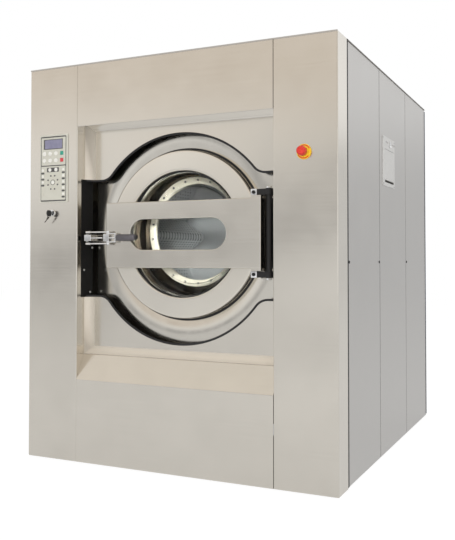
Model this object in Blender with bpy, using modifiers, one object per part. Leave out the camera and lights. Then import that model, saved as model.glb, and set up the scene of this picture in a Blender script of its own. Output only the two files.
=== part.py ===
"""Front-loading washer extractor: cabinet, sprung tub, drum and drive, door with its clamp, and controls.

Metres, +Z up. The front faces -Y and the origin is at the middle of the bounding box's bottom.
Depths are measured backwards from the cabinet's front plane.
"""

import math

import bmesh
import bpy
from mathutils import Matrix, Vector

# Overall sizes
WIDTH = 1.58
HEIGHT = 1.90
CABINET_DEPTH = 1.838
STOP_STANDS_OUT = 0.050
REAR_FITTING_LENGTH = 0.080
FRONT_Y = (STOP_STANDS_OUT - CABINET_DEPTH - REAR_FITTING_LENGTH) / 2

# Clearances and sheet
CLEARANCE = 0.0003
RUNNING_CLEARANCE = 0.0006
OVERRUN = 0.010
WELD_SINK = 0.002
SHEET = 0.002
FLOOR_GAP = 0.002
PANEL_RETURN = 0.020

# Cabinet front
FRONT_MODULE_DEPTH = 0.128
FRONT_MODULE_GAP = 0.007
COLUMN_SEAM_X = 0.505
TOP_PANEL_LOW = 1.598
TOP_PANEL_RISE = 0.022
FOLD_DEPTH = 0.060
FOLD_RETURN = 0.030
LOWER_FOLD_Z = 0.393
LEDGE_Z = 0.507
RECESS_DEPTH = 0.100
RECESS_BAND_WIDTH = 0.036

# Cut-out in the recess panel: a circle with a slot running through to both columns
CUTOUT_RADIUS = 0.4925
CUTOUT_Z = 1.058
SLOT_TOP = 1.350
SLOT_BOTTOM = 0.780
CUTOUT_FILLET = 0.070
CUTOUT_STEPS = 36
FILLET_STEPS = 5
TRIM_RADIUS = 0.005

# Cabinet sides, top and rear
SIDE_INSET = 0.006
SIDE_SEAM_FRONT = 0.700
SIDE_SEAM_REAR = 1.280
SIDE_SEAM_GAP = 0.003
REAR_COVER_DEPTH = 0.030

# Base frame
BASE_HEIGHT = 0.100
BASE_RAIL = 0.100
BASE_BEAM = 0.120

# Tub and its cradle
TUB_AXIS_Z = 1.100
TUB_RADIUS = 0.660
TUB_WALL = 0.005
TUB_FRONT_DEPTH = 0.2753
TUB_REAR_ROOM = 0.418
TUB_REAR_DEPTH = CABINET_DEPTH - TUB_REAR_ROOM
TUB_MOUTH_RADIUS = 0.336
TUB_HUB_RADIUS = 0.075
CRADLE_FRONT_DEPTH = 0.450
CRADLE_REAR_INSET = 0.170
CRADLE_REAR_DEPTH = TUB_REAR_DEPTH - CRADLE_REAR_INSET
CRADLE_HALF_WIDTH = 0.620
CRADLE_BOTTOM = 0.400
CRADLE_TOP = 0.850
CRADLE_PLATE = 0.012
CRADLE_FOOT = 0.100
SPRING_X = 0.560
SPRING_COIL_RADIUS = 0.042
SPRING_WIRE_RADIUS = 0.008
SPRING_TURNS = 5
COIL_POINTS = 8
TURNED_STEPS = 40
HIDDEN_STEPS = 30
SADDLE_STEPS = 10

# Tub front: a dish from the round mouth to an outline that follows the cut-out
COLLAR_MARGIN = 0.010
COLLAR_WING_X = 0.600
COLLAR_SHEET = 0.004
COLLAR_NECK_RADIUS = 0.330
COLLAR_SEAT_DEPTH = 0.207
COLLAR_SEAT_RADIUS = 0.385
COLLAR_STEPS = 64
COLLAR_RINGS = 4
COLLAR_DISH_WIDTH = 0.090
COLLAR_RIM_DEPTH = 0.163
COLLAR_FLANGE_DEPTH = 0.150
COLLAR_NECK_FLARE = 0.003

# Door
DOOR_AXIS_Z = 1.080
RING_OUTER_RADIUS = 0.392
RING_INNER_RADIUS = 0.295
RING_FRONT_DEPTH = 0.120
RING_THICKNESS = 0.040
RING_EDGE = 0.006
RING_EDGE_STEP = 0.002
GLASS_FLANGE_RADIUS = 0.314
GLASS_SEAT_DEPTH = 0.145
GLASS_THICKNESS = 0.008
BOWL_MOUTH_RADIUS = 0.288
BOWL_BOTTOM_RADIUS = 0.240
BOWL_BOTTOM_DEPTH = 0.262
BOWL_CORNER = 0.020
BOWL_CORNER_STEP = 0.007
GASKET_INNER_RADIUS = 0.334
GASKET_OUTER_RADIUS = 0.378
GASKET_EDGE = 0.010

# Crossbar
BAR_FRONT_DEPTH = 0.070
BAR_LEFT_X = -0.386
BAR_RIGHT_X = 0.419
BAR_LOW = 0.922
BAR_HIGH = 1.232
BAR_SHEET = 0.003
BAR_END_WIDTH = 0.047
BAR_END_OVERHANG = 0.011
BAR_SLOT_HALF_LENGTH = 0.250
BAR_SLOT_LOW = 1.007
BAR_SLOT_HIGH = 1.149
BAR_SLOT_STEPS = 12

# Door hinge
HINGE_X = 0.442
HINGE_DEPTH = 0.110
HINGE_PIN_RADIUS = 0.008
HINGE_NUT_RADIUS = 0.013
HINGE_NUT_HEIGHT = 0.010
ARM_HEIGHT = 0.030
ARM_LEFT_X = 0.360
ARM_THICKNESS = 0.030
ARM_BOSS_RADIUS = 0.018
KNUCKLE_RADIUS = 0.014
BRACKET_WEB = 0.012
BRACKET_PLATE_DEPTH = 0.135
BRACKET_PLATE = 0.008
BRACKET_RIGHT_X = 0.500
BRACKET_LEFT_X = 0.430
BRACKET_INSET = 0.010
BRACKET_BASE = 0.010

# Door clamp
CLAMP_X = -0.3615
CLAMP_DEPTH = 0.047
CLAMP_Z = 1.065
CLAMP_BLOCK_WIDTH = 0.032
CLAMP_BLOCK_HEIGHT = 0.034
CLAMP_BLOCK_FRONT_DEPTH = 0.032
CLAMP_PIN_RADIUS = 0.005
CHEEK_THICKNESS = 0.005
CHEEK_RADIUS = 0.009
CHEEK_LENGTH = 0.048
CHEEK_WIDTH = 0.012
CHEEK_INSET = 0.001
CHEEK_STEPS = 6
CHEEK_PIN_ARC = (math.radians(60), math.radians(200))
CHEEK_CRANK_ARC = (math.radians(210), math.radians(330))
LEVER_ROD_START = 0.024
LINK_PIN_RADIUS = 0.004
LINK_CRANK = 0.009
LINK_CRANK_ANGLE = math.radians(-45)
LINK_ROD_RADIUS = 0.005
LINK_EYE_RADIUS = 0.009
LINK_BAR_RADIUS = 0.007
LINK_BAR_X = -0.475
LINK_SLEEVE_RADIUS = 0.0065
LINK_SLEEVE_LENGTH = 0.024
GRIP_START_X = -0.311
GRIP_END_X = -0.207
GRIP_TIP_X = -0.196
GRIP_RADIUS = 0.0165
GRIP_TIP_RADIUS = 0.010
GRIP_ROD_RADIUS = 0.0048
GRIP_END_SHARE = 0.75
GRIP_EDGE = 0.005
GRIP_SWELL = 0.035
KEEPER_NOSE_DEPTH = 0.019
KEEPER_NOSE_THICKNESS = 0.0112
KEEPER_NOSE_LENGTH = 0.010
KEEPER_SHANK_X = -0.4675
KEEPER_SHANK_WIDTH = 0.028
KEEPER_HEIGHT = 0.030

# Drum
DRUM_RADIUS = 0.600
DRUM_WALL = 0.004
DRUM_FRONT_DEPTH = 0.305
DRUM_REAR_ROOM = 0.170
DRUM_REAR_DEPTH = TUB_REAR_DEPTH - DRUM_REAR_ROOM
DRUM_MOUTH_RADIUS = 0.245
DRUM_RING_INNER = 0.237
DRUM_RING_OUTER = 0.280
DRUM_RING_THICKNESS = 0.014
DRUM_RING_EDGE = 0.0045
LIFTER_COUNT = 3
LIFTER_HEIGHT = 0.150
LIFTER_HALF_BASE = 0.110
LIFTER_HALF_TOP = 0.028
LIFTER_END_GAP = 0.030
LIFTER_SHEET = 0.004
LIFTER_STEPS = 4
SHAFT_RADIUS = 0.045
SHAFT_FLANGE_RADIUS = 0.200
SHAFT_FLANGE_THICKNESS = 0.020
SHAFT_HUB_RADIUS = 0.070
SHAFT_HUB_LENGTH = 0.100
HOUSING_RADIUS = 0.130
HOUSING_FLANGE_RADIUS = 0.200
HOUSING_FLANGE = 0.020
HOUSING_LENGTH = 0.150

# Drive
PULLEY_BEHIND_TUB = 0.200
PULLEY_DEPTH = TUB_REAR_DEPTH + PULLEY_BEHIND_TUB
PULLEY_WIDTH = 0.050
DRUM_PULLEY_RADIUS = 0.350
PULLEY_RIM = 0.018
PULLEY_WEB = 0.012
PULLEY_HUB_RADIUS = 0.080
PULLEY_HOLE_COUNT = 6
PULLEY_HOLE_RADIUS = 0.070
PULLEY_HOLE_CIRCLE = 0.205
PULLEY_HOLE_TURN = math.radians(5)
MOTOR_PULLEY_RADIUS = 0.070
BELT_THICKNESS = 0.007
BELT_WIDTH = 0.040
BELT_STEPS = 24
SMALL_BELT_STEPS = 10
MOTOR_X = 0.300
MOTOR_Z = 0.260
MOTOR_RADIUS = 0.120
MOTOR_TO_PULLEY = 0.100
MOTOR_LENGTH = 0.550
MOTOR_BELL_LENGTH = 0.060
MOTOR_BELL_RADIUS = 0.100
MOTOR_BOSS_RADIUS = 0.040
MOTOR_BOSS_LENGTH = 0.020
MOTOR_FRONT_DEPTH = PULLEY_DEPTH - MOTOR_TO_PULLEY - MOTOR_BOSS_LENGTH - MOTOR_LENGTH
MOTOR_SHAFT_RADIUS = 0.019
MOTOR_SHAFT_SINK = 0.015
MOTOR_PLATE_HALF_WIDTH = 0.120
MOTOR_PLATE_LENGTH = 0.300
MOTOR_PLATE = 0.012
MOTOR_NECK_LENGTH = 0.200
MOTOR_RIB_COUNT = 12
MOTOR_RIB_HEIGHT = 0.010
MOTOR_RIB_THICKNESS = 0.006

# Controls on the left column
PANEL_X = -0.651
PANEL_LOW = 1.252
PANEL_HIGH = 1.564
PANEL_WIDTH = 0.150
PANEL_STANDS_OUT = 0.003
PANEL_LIP = 0.006
HOUSING_DEPTH = 0.080
KEY_FIRST_X = -0.7005
KEY_PITCH_X = 0.0352
KEY_TOP_Z = 1.478
KEY_PITCH_Z = 0.0335
KEY_RADIUS = 0.0105
SQUARE_KEY_HALF = 0.0090
KEY_STANDS_OUT = 0.0025
KEY_BORE_DEPTH = 0.006
KEY_LENGTH = 0.006
KEY_COLUMNS = 4
KEY_ROWS = 2
LOCK_X = -0.651
LOCK_Z = 1.189
LOCK_RADIUS = 0.0145
LOCK_STANDS_OUT = 0.006
LOCK_EDGE = 0.002
LOCK_BARREL_RADIUS = 0.010
LOCK_BARREL_LENGTH = 0.030
PLUG_RADIUS = 0.007
PLUG_LENGTH = 0.012
KEY_BOW_RADIUS = 0.012
KEY_BOW_THICKNESS = 0.0025
KEY_NECK_LENGTH = 0.010
KEY_NECK_WIDTH = 0.007

# Emergency stop on the right column
STOP_X = 0.644
STOP_Z = 1.408
STOP_DISC_RADIUS = 0.0325
STOP_DISC_THICKNESS = 0.004
STOP_COLLAR_RADIUS = 0.018
STOP_COLLAR_LENGTH = 0.010
STOP_BARREL_RADIUS = 0.015
STOP_BARREL_LENGTH = 0.040
STOP_HEAD_RADIUS = 0.020
STOP_NECK_RADIUS = 0.0125
STOP_TRAVEL = 0.008
STOP_HEAD_SHARES = [(1, 0.33), (0.9, 0.12), (0.65, 0), (0, 0)]

# Hatch on the right middle panel
HATCH_LEFT_DEPTH = 0.757
HATCH_RIGHT_DEPTH = 1.009
HATCH_LOW = 1.333
HATCH_HIGH = 1.583
HATCH_PLATE = 0.003
POCKET_LEFT_DEPTH = 0.801
POCKET_RIGHT_DEPTH = 0.989
POCKET_LOW = 1.352
POCKET_HIGH = 1.520
POCKET_DEPTH = 0.040
FLAP_THICKNESS = 0.003
FLAP_FINGER_GAP = 0.012
FLAP_BARREL_RADIUS = 0.0035
FLAP_EDGE_GAP = 0.0015
KNOB_DEPTH = 0.911
KNOB_Z = 1.551
KNOB_RADIUS = 0.017
KNOB_EDGE = 0.001
KNOB_STEM_RADIUS = 0.006
KNOB_STEM_LENGTH = 0.008
HATCH_SLOT_LENGTH = 0.060
HATCH_SLOT_HEIGHT = 0.009
HATCH_SLOT_OFFSET = 0.066

# Rear fittings
INLET_X = -0.450
FITTING_FROM_TOP = 0.280
INLET_Z = HEIGHT - FITTING_FROM_TOP
INLET_PITCH = 0.070
INLET_COUNT = 3
INLET_RADIUS = 0.0165
INLET_PLATE = 0.012
INLET_PLATE_MARGIN = 0.030
DRAIN_Z = 0.200
DRAIN_RADIUS = 0.0450
DRAIN_WALL = 0.003
DRAIN_FLANGE_RADIUS = 0.065
DRAIN_FLANGE = 0.006
GLAND_X = 0.550
GLAND_Z = HEIGHT - FITTING_FROM_TOP
GLAND_RADIUS = 0.019
GLAND_HEX_RADIUS = 0.025
GLAND_BORE = 0.010
GLAND_LENGTH = 0.040

ROUND_STEPS = 20
SMALL_STEPS = 12
SMOOTH_ANGLE = math.radians(35)
MERGE = 0.0001

STEEL = ("#C8C1B7", 0.35, 1.0)
SIDE_STEEL = ("#B9B8B6", 0.38, 1.0)
POLISHED = ("#D6D4CF", 0.12, 1.0)
CHROME = ("#E2E2E2", 0.08, 1.0)
DARK_STEEL = ("#3A3A3B", 0.45, 0.8)
CAST = ("#5A5C5E", 0.60, 0.7)
PAINT = ("#8A8F93", 0.50, 0.0)
RUBBER = ("#1C1C1D", 0.75, 0.0)
GLASS = ("#BFC9C8", 0.05, 0.0)
KEYPAD = ("#A9A69E", 0.55, 0.0)
KEY_WHITE = ("#E6E4DE", 0.50, 0.0)
KEY_GREEN = ("#3CA08C", 0.50, 0.0)
KEY_RED = ("#C8403C", 0.50, 0.0)
STOP_RED = ("#D2302C", 0.35, 0.0)
STOP_YELLOW = ("#EBC832", 0.40, 0.0)
BLACK_PLASTIC = ("#17181A", 0.50, 0.0)
BRASS = ("#B89B5A", 0.30, 1.0)


def y_at(depth):
    """Y of a depth measured back from the cabinet's front plane."""
    return FRONT_Y + depth


def clear_scene():
    for old in list(bpy.data.objects):
        bpy.data.objects.remove(old, do_unlink=True)


def linear(channel):
    return channel / 12.92 if channel <= 0.04045 else ((channel + 0.055) / 1.055) ** 2.4


def finish(obj, look):
    """Give the object its own material from a colour, a roughness and a metallic value."""
    colour, roughness, metallic = look
    rgb = [linear(int(colour[i:i + 2], 16) / 255) for i in (1, 3, 5)]
    material = bpy.data.materials.new(obj.name + "_finish")
    material.use_nodes = True
    shader = material.node_tree.nodes["Principled BSDF"]
    shader.inputs["Base Color"].default_value = (*rgb, 1)
    shader.inputs["Roughness"].default_value = roughness
    shader.inputs["Metallic"].default_value = metallic
    obj.data.materials.clear()
    obj.data.materials.append(material)
    return obj


def place(obj, collection):
    for old in list(obj.users_collection):
        old.objects.unlink(obj)
    collection.objects.link(obj)
    return obj


def guide(obj):
    """Keep a cutter or a joined shape out of sight."""
    place(obj, bpy.data.collections["cutters"])
    obj.hide_render = True
    obj.display_type = "WIRE"
    return obj


def new_object(name, mesh):
    obj = bpy.data.objects.new(name, mesh)
    bpy.data.collections["washer_extractor"].objects.link(obj)
    return obj


def smooth(obj):
    obj.data.shade_smooth()
    obj.data.set_sharp_from_angle(angle=SMOOTH_ANGLE)
    return obj


def box(name, low, high):
    """A box between two corners, its origin in its middle."""
    low, high = Vector(low), Vector(high)
    bpy.ops.mesh.primitive_cube_add(size=1)
    obj = bpy.context.object
    obj.name = name
    obj.data.transform(Matrix.Diagonal((*(high - low), 1)))
    obj.location = (low + high) / 2
    return place(obj, bpy.data.collections["washer_extractor"])


def rod(name, radius, start, end, steps=ROUND_STEPS):
    """A cylinder between two points, its origin in its middle."""
    start, end = Vector(start), Vector(end)
    span = end - start
    bpy.ops.mesh.primitive_cylinder_add(vertices=steps, radius=radius, depth=span.length)
    obj = bpy.context.object
    obj.name = name
    obj.location = (start + end) / 2
    obj.rotation_euler = span.to_track_quat("Z", "Y").to_euler()
    return smooth(place(obj, bpy.data.collections["washer_extractor"]))


def turned(name, profile, centre, axis="Y", steps=TURNED_STEPS, closed=True):
    """A turned piece: (radius, height) points that run down the outer side, screwed about an axis."""
    mesh = bpy.data.meshes.new(name)
    work = bmesh.new()
    points = [work.verts.new((radius, 0, height)) for radius, height in profile]
    for first, second in zip(points, points[1:]):
        work.edges.new((first, second))
    if closed:
        work.edges.new((points[-1], points[0]))
    work.to_mesh(mesh)
    work.free()
    obj = new_object(name, mesh)
    obj.location = centre
    if axis == "Y":
        obj.rotation_euler = (-math.pi / 2, 0, 0)
    if axis == "X":
        obj.rotation_euler = (0, math.pi / 2, 0)
    screw = obj.modifiers.new("Turn", "SCREW")
    screw.steps = steps
    screw.render_steps = steps
    screw.use_merge_vertices = True
    screw.merge_threshold = MERGE
    screw.use_smooth_shade = True
    return as_mesh(obj)


def as_mesh(obj):
    """Replace a curve or a piece with modifiers by its finished mesh, welded where caps meet."""
    bpy.context.view_layer.update()
    shaped = obj.evaluated_get(bpy.context.evaluated_depsgraph_get())
    mesh = bpy.data.meshes.new_from_object(shaped)
    work = bmesh.new()
    work.from_mesh(mesh)
    bmesh.ops.remove_doubles(work, verts=work.verts, dist=MERGE)
    work.to_mesh(mesh)
    work.free()
    name, matrix = obj.name, obj.matrix_world.copy()
    bpy.data.objects.remove(obj, do_unlink=True)
    made = new_object(name, mesh)
    made.matrix_world = matrix
    return smooth(made)


def flat_piece(name, outlines, centre, thickness, facing="Y"):
    """Outlines in their own plane, the outer one first, extruded both ways by half the thickness.

    Facing Y, an outline point is (x, z); facing X, it is (y, z); facing Z, it is (x, y).
    """
    curve = bpy.data.curves.new(name, "CURVE")
    curve.dimensions = "2D"
    curve.fill_mode = "BOTH"
    curve.extrude = thickness / 2
    for outline in outlines:
        spline = curve.splines.new("POLY")
        spline.points.add(len(outline) - 1)
        for point, (across, up) in zip(spline.points, outline):
            point.co = (across, up, 0, 1)
        spline.use_cyclic_u = True
    obj = new_object(name, curve)
    obj.location = centre
    turns = {"Y": (math.pi / 2, 0, 0), "X": (math.pi / 2, 0, math.pi / 2), "Z": (0, 0, 0)}
    obj.rotation_euler = turns[facing]
    return as_mesh(obj)


def tube(name, points, radius, resolution=2, cyclic=False):
    curve = bpy.data.curves.new(name, "CURVE")
    curve.dimensions = "3D"
    curve.bevel_depth = radius
    curve.bevel_resolution = resolution
    curve.use_fill_caps = True
    spline = curve.splines.new("POLY")
    spline.points.add(len(points) - 1)
    for place_on, point in zip(spline.points, points):
        place_on.co = (*point, 1)
    spline.use_cyclic_u = cyclic
    return as_mesh(new_object(name, curve))


def modifier(obj, label, kind, **settings):
    added = obj.modifiers.new(label, kind)
    for key, value in settings.items():
        setattr(added, key, value)
    return added


def cut(obj, *cutters):
    for cutter in cutters:
        modifier(obj, "Cut", "BOOLEAN", operation="DIFFERENCE", object=guide(cutter), solver="EXACT")
    return obj


def weld(obj, *others):
    for other in others:
        modifier(obj, "Weld", "BOOLEAN", operation="UNION", object=guide(other), solver="EXACT")
    return obj


def pan(name, low, high, open_side, sheet=SHEET):
    """A folded sheet-metal pan: a box without the side that open_side points to."""
    obj = box(name, low, high)
    work = bmesh.new()
    work.from_mesh(obj.data)
    away = Vector(open_side)
    bmesh.ops.delete(work, geom=[f for f in work.faces if f.normal.dot(away) > 0.5], context="FACES")
    work.to_mesh(obj.data)
    work.free()
    modifier(obj, "Sheet", "SOLIDIFY", thickness=sheet, offset=-1, use_even_offset=True)
    return obj


def folded_sheet(name, section, left, right, sheet=SHEET):
    """A sheet folded along (depth, z) points, its outer skin on them, running from left to right."""
    mesh = bpy.data.meshes.new(name)
    work = bmesh.new()
    chain = [work.verts.new((left, y_at(depth), height)) for depth, height in section]
    edges = [work.edges.new(pair) for pair in zip(chain, chain[1:])]
    grown = bmesh.ops.extrude_edge_only(work, edges=edges)["geom"]
    moved = [item for item in grown if isinstance(item, bmesh.types.BMVert)]
    bmesh.ops.translate(work, verts=moved, vec=(right - left, 0, 0))
    bmesh.ops.recalc_face_normals(work, faces=work.faces)
    front = min(work.faces, key=lambda face: face.calc_center_median().y)
    if front.normal.y > 0:
        bmesh.ops.reverse_faces(work, faces=work.faces)
    work.to_mesh(mesh)
    work.free()
    obj = new_object(name, mesh)
    modifier(obj, "Sheet", "SOLIDIFY", thickness=sheet, offset=-1, use_even_offset=True)
    return obj


def set_origin(obj, point):
    """Move the object's origin to a world point without moving its mesh."""
    bpy.context.view_layer.update()
    shift = obj.matrix_world.inverted() @ Vector(point)
    obj.data.transform(Matrix.Translation(-shift))
    obj.location = point
    return obj


def frame_at(name, point, parent=None):
    """An empty at the axis of a moving group."""
    empty = bpy.data.objects.new(name, None)
    bpy.data.collections["washer_extractor"].objects.link(empty)
    empty.location = point
    return attach(empty, parent) if parent else empty


def attach(obj, parent):
    bpy.context.view_layer.update()
    obj.parent = parent
    obj.matrix_parent_inverse = parent.matrix_world.inverted()
    return obj


def arc(centre, radius, start, end, steps):
    """Points on an arc, both ends included; angles in radians."""
    span = end - start
    angles = [start + span * i / steps for i in range(steps + 1)]
    return [(centre[0] + radius * math.cos(a), centre[1] + radius * math.sin(a)) for a in angles]


def half_cutout(edge_z, grow, reach):
    """One half of the cut-out's outline, from -reach to +reach: slot edge, fillet, circle, and back.

    edge_z is the slot's edge, above or below the circle's middle, and grow widens the opening.
    """
    side = 1 if edge_z > CUTOUT_Z else -1
    fillet_z = abs(edge_z - CUTOUT_Z) + CUTOUT_FILLET
    span = CUTOUT_RADIUS + CUTOUT_FILLET
    fillet_x = math.sqrt(span ** 2 - fillet_z ** 2)
    tangent = math.atan2(fillet_z, fillet_x)
    fillet = CUTOUT_FILLET - grow
    right = [(reach, fillet_z - fillet)]
    right += arc((fillet_x, fillet_z), fillet, -math.pi / 2, tangent - math.pi, FILLET_STEPS)
    right += arc((0, 0), CUTOUT_RADIUS + grow, tangent, math.pi / 2, CUTOUT_STEPS // 4)[1:]
    left = [(-x, z) for x, z in reversed(right[:-1])]
    return [(x, CUTOUT_Z + side * z) for x, z in right + left]


def cutout_outline(grow, reach):
    """The whole closed outline of the cut-out, seen from the front."""
    return half_cutout(SLOT_TOP, grow, reach) + half_cutout(SLOT_BOTTOM, grow, reach)[::-1]


# Cabinet

def build_base_frame():
    """A welded base of two side rails, two end rails and two cross beams under the springs."""
    half = side_panel_inner_x() - CLEARANCE
    front = FRONT_MODULE_DEPTH + CLEARANCE
    rear = CABINET_DEPTH - REAR_COVER_DEPTH
    half_beam = BASE_BEAM / 2
    window_edges = [front + BASE_RAIL, CRADLE_FRONT_DEPTH - half_beam,
                    CRADLE_FRONT_DEPTH + half_beam, CRADLE_REAR_DEPTH - half_beam,
                    CRADLE_REAR_DEPTH + half_beam, rear - BASE_RAIL]
    frame = box("base_frame", (-half, y_at(front), 0), (half, y_at(rear), BASE_HEIGHT))
    inner = half - BASE_RAIL
    for low, high in zip(window_edges[::2], window_edges[1::2]):
        window = box("base_window", (-inner, y_at(low), -OVERRUN),
                     (inner, y_at(high), BASE_HEIGHT + OVERRUN))
        cut(frame, window)
    return finish(frame, DARK_STEEL)


def side_panel_x():
    """Outer face of the side panels, set in so that their fittings stay inside the width."""
    return WIDTH / 2 - SIDE_INSET


def side_panel_inner_x():
    """Inner edge of the side panels' folded returns."""
    return side_panel_x() - PANEL_RETURN


def build_column(name, side):
    """A front column, a pan open to the rear, with the holes that its fittings need."""
    inner, outer = side * COLUMN_SEAM_X, side * WIDTH / 2
    low = (min(inner, outer), y_at(0), FLOOR_GAP)
    high = (max(inner, outer), y_at(FRONT_MODULE_DEPTH), HEIGHT)
    column = pan(name, low, high, (0, 1, 0))
    if side < 0:
        half = PANEL_WIDTH / 2 - PANEL_LIP
        window = box("panel_window", (PANEL_X - half, y_at(-OVERRUN), PANEL_LOW + PANEL_LIP),
                     (PANEL_X + half, y_at(OVERRUN), PANEL_HIGH - PANEL_LIP))
        lock_hole = rod("lock_hole", LOCK_BARREL_RADIUS + CLEARANCE,
                        (LOCK_X, y_at(-OVERRUN), LOCK_Z), (LOCK_X, y_at(OVERRUN), LOCK_Z))
        cut(column, window, lock_hole)
    else:
        stop_hole = rod("stop_hole", STOP_BARREL_RADIUS + CLEARANCE,
                        (STOP_X, y_at(-OVERRUN), STOP_Z), (STOP_X, y_at(OVERRUN), STOP_Z))
        cut(column, stop_hole)
    return finish(column, STEEL)


def build_centre_panels():
    """The top and the lower centre panels, each one folded sheet between the columns."""
    half = COLUMN_SEAM_X - CLEARANCE
    top = HEIGHT
    high_fold = TOP_PANEL_LOW + TOP_PANEL_RISE
    upper = folded_sheet("top_front_panel",
                         [(FRONT_MODULE_DEPTH, top), (0, top), (0, TOP_PANEL_LOW),
                          (FOLD_DEPTH, high_fold), (FOLD_DEPTH + FOLD_RETURN, high_fold)],
                         -half, half)
    lower = folded_sheet("lower_front_panel",
                         [(FOLD_DEPTH + FOLD_RETURN, LEDGE_Z), (FOLD_DEPTH, LEDGE_Z),
                          (0, LOWER_FOLD_Z), (0, FLOOR_GAP), (FRONT_MODULE_DEPTH, FLOOR_GAP)],
                         -half, half)
    finish(upper, STEEL)
    finish(lower, STEEL)


def recess_limits():
    """Outer half width, bottom and top of the recess, at its front edge."""
    half = COLUMN_SEAM_X - CLEARANCE
    return half, LEDGE_Z + CLEARANCE, TOP_PANEL_LOW + TOP_PANEL_RISE - CLEARANCE


def build_recess_panel(name, edge_z):
    """One half of the recess: a pan with sloped, mitred bands, cut along the edge of the cut-out."""
    half, low, high = recess_limits()
    obj = pan(name, (-half, y_at(FOLD_DEPTH), low), (half, y_at(RECESS_DEPTH + SHEET), high), (0, -1, 0))
    slope_x = (half - RECESS_BAND_WIDTH) / half
    slope_z = ((high - low) / 2 - RECESS_BAND_WIDTH) / ((high - low) / 2)
    for vert in obj.data.vertices:
        if vert.co.y > 0:
            vert.co.x *= slope_x
            vert.co.z *= slope_z
    upper = edge_z > CUTOUT_Z
    reach = half + OVERRUN
    edge = half_cutout(edge_z, 0, reach)
    away = low - OVERRUN if upper else high + OVERRUN
    outline = edge + [(-reach, away), (reach, away)]
    across = (FOLD_DEPTH + RECESS_DEPTH) / 2
    cutter = flat_piece(name + "_cutout", [outline], (0, y_at(across), 0), FOLD_DEPTH * 2)
    cut(obj, cutter)
    return finish(obj, STEEL)


def build_edge_trim(name, edge_z):
    """A rubber bead along the cut edge, which follows the sloped bands out to the columns."""
    half, _, _ = recess_limits()
    inward = TRIM_RADIUS + CLEARANCE
    flat_half = half - RECESS_BAND_WIDTH
    run = half_cutout(edge_z, -inward, flat_half)
    reach = half - TRIM_RADIUS
    rise = (half - reach) * (RECESS_DEPTH - FOLD_DEPTH) / RECESS_BAND_WIDTH
    end_depth = FOLD_DEPTH + rise
    middle = SHEET / 2
    points = [(reach, y_at(end_depth + middle), run[0][1])]
    points += [(x, y_at(RECESS_DEPTH + middle), z) for x, z in run]
    points += [(-reach, y_at(end_depth + middle), run[-1][1])]
    return finish(tube(name, points, TRIM_RADIUS, 1), RUBBER)


def side_panel(name, side, start, end):
    """A side panel between two depths, a pan open to the inside."""
    outer, inner = side * side_panel_x(), side * side_panel_inner_x()
    low = (min(outer, inner), y_at(start), FLOOR_GAP)
    high = (max(outer, inner), y_at(end), HEIGHT - SHEET - CLEARANCE)
    return pan(name, low, high, (-side, 0, 0))


def build_side_panels():
    """One long panel on the left, three on the right, the middle one with the hatch frame and pocket."""
    start = FRONT_MODULE_DEPTH + FRONT_MODULE_GAP
    seam = SIDE_SEAM_GAP / 2
    finish(side_panel("left_side_panel", -1, start, CABINET_DEPTH), SIDE_STEEL)
    finish(side_panel("right_side_panel_front", 1, start, SIDE_SEAM_FRONT - seam), SIDE_STEEL)
    middle = side_panel("right_side_panel_middle", 1, SIDE_SEAM_FRONT + seam, SIDE_SEAM_REAR - seam)
    finish(side_panel("right_side_panel_rear", 1, SIDE_SEAM_REAR + seam, CABINET_DEPTH), SIDE_STEEL)
    face = side_panel_x()
    plate = box("hatch_plate", (face - SHEET / 2, y_at(HATCH_LEFT_DEPTH), HATCH_LOW),
                (face + HATCH_PLATE, y_at(HATCH_RIGHT_DEPTH), HATCH_HIGH))
    wall = 2 * SHEET
    back = face - POCKET_DEPTH
    shell = box("pocket_shell", (back - wall, y_at(POCKET_LEFT_DEPTH - wall), POCKET_LOW - wall),
                (face, y_at(POCKET_RIGHT_DEPTH + wall), POCKET_HIGH + wall))
    pocket = box("pocket", (back, y_at(POCKET_LEFT_DEPTH), POCKET_LOW),
                 (face + OVERRUN, y_at(POCKET_RIGHT_DEPTH), POCKET_HIGH))
    weld(middle, plate, shell)
    cut(middle, pocket)
    outer = face + HATCH_PLATE
    for side in (-1, 1):
        centre = KNOB_DEPTH + side * HATCH_SLOT_OFFSET
        slot = box("hatch_slot", (face - SHEET / 2, y_at(centre - HATCH_SLOT_LENGTH / 2), KNOB_Z),
                   (outer + OVERRUN, y_at(centre + HATCH_SLOT_LENGTH / 2), KNOB_Z + HATCH_SLOT_HEIGHT))
        cut(middle, slot)
    bore = rod("knob_bore", KNOB_STEM_RADIUS + CLEARANCE, (back, y_at(KNOB_DEPTH), KNOB_Z),
               (outer + OVERRUN, y_at(KNOB_DEPTH), KNOB_Z))
    cut(middle, bore)
    return finish(middle, SIDE_STEEL)


def build_covers():
    """The flat top cover and the rear cover, a pan open to the front with its service holes."""
    start = FRONT_MODULE_DEPTH + FRONT_MODULE_GAP
    side = side_panel_x()
    top = box("top_cover", (-side, y_at(start), HEIGHT - SHEET), (side, y_at(CABINET_DEPTH), HEIGHT))
    half = side_panel_inner_x() - CLEARANCE
    rim = CABINET_DEPTH - REAR_COVER_DEPTH + CLEARANCE
    rear = pan("rear_cover", (-half, y_at(rim), BASE_HEIGHT + CLEARANCE),
               (half, y_at(CABINET_DEPTH), HEIGHT - SHEET - CLEARANCE), (0, -1, 0))
    finish(top, SIDE_STEEL)
    finish(rear, SIDE_STEEL)


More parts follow.
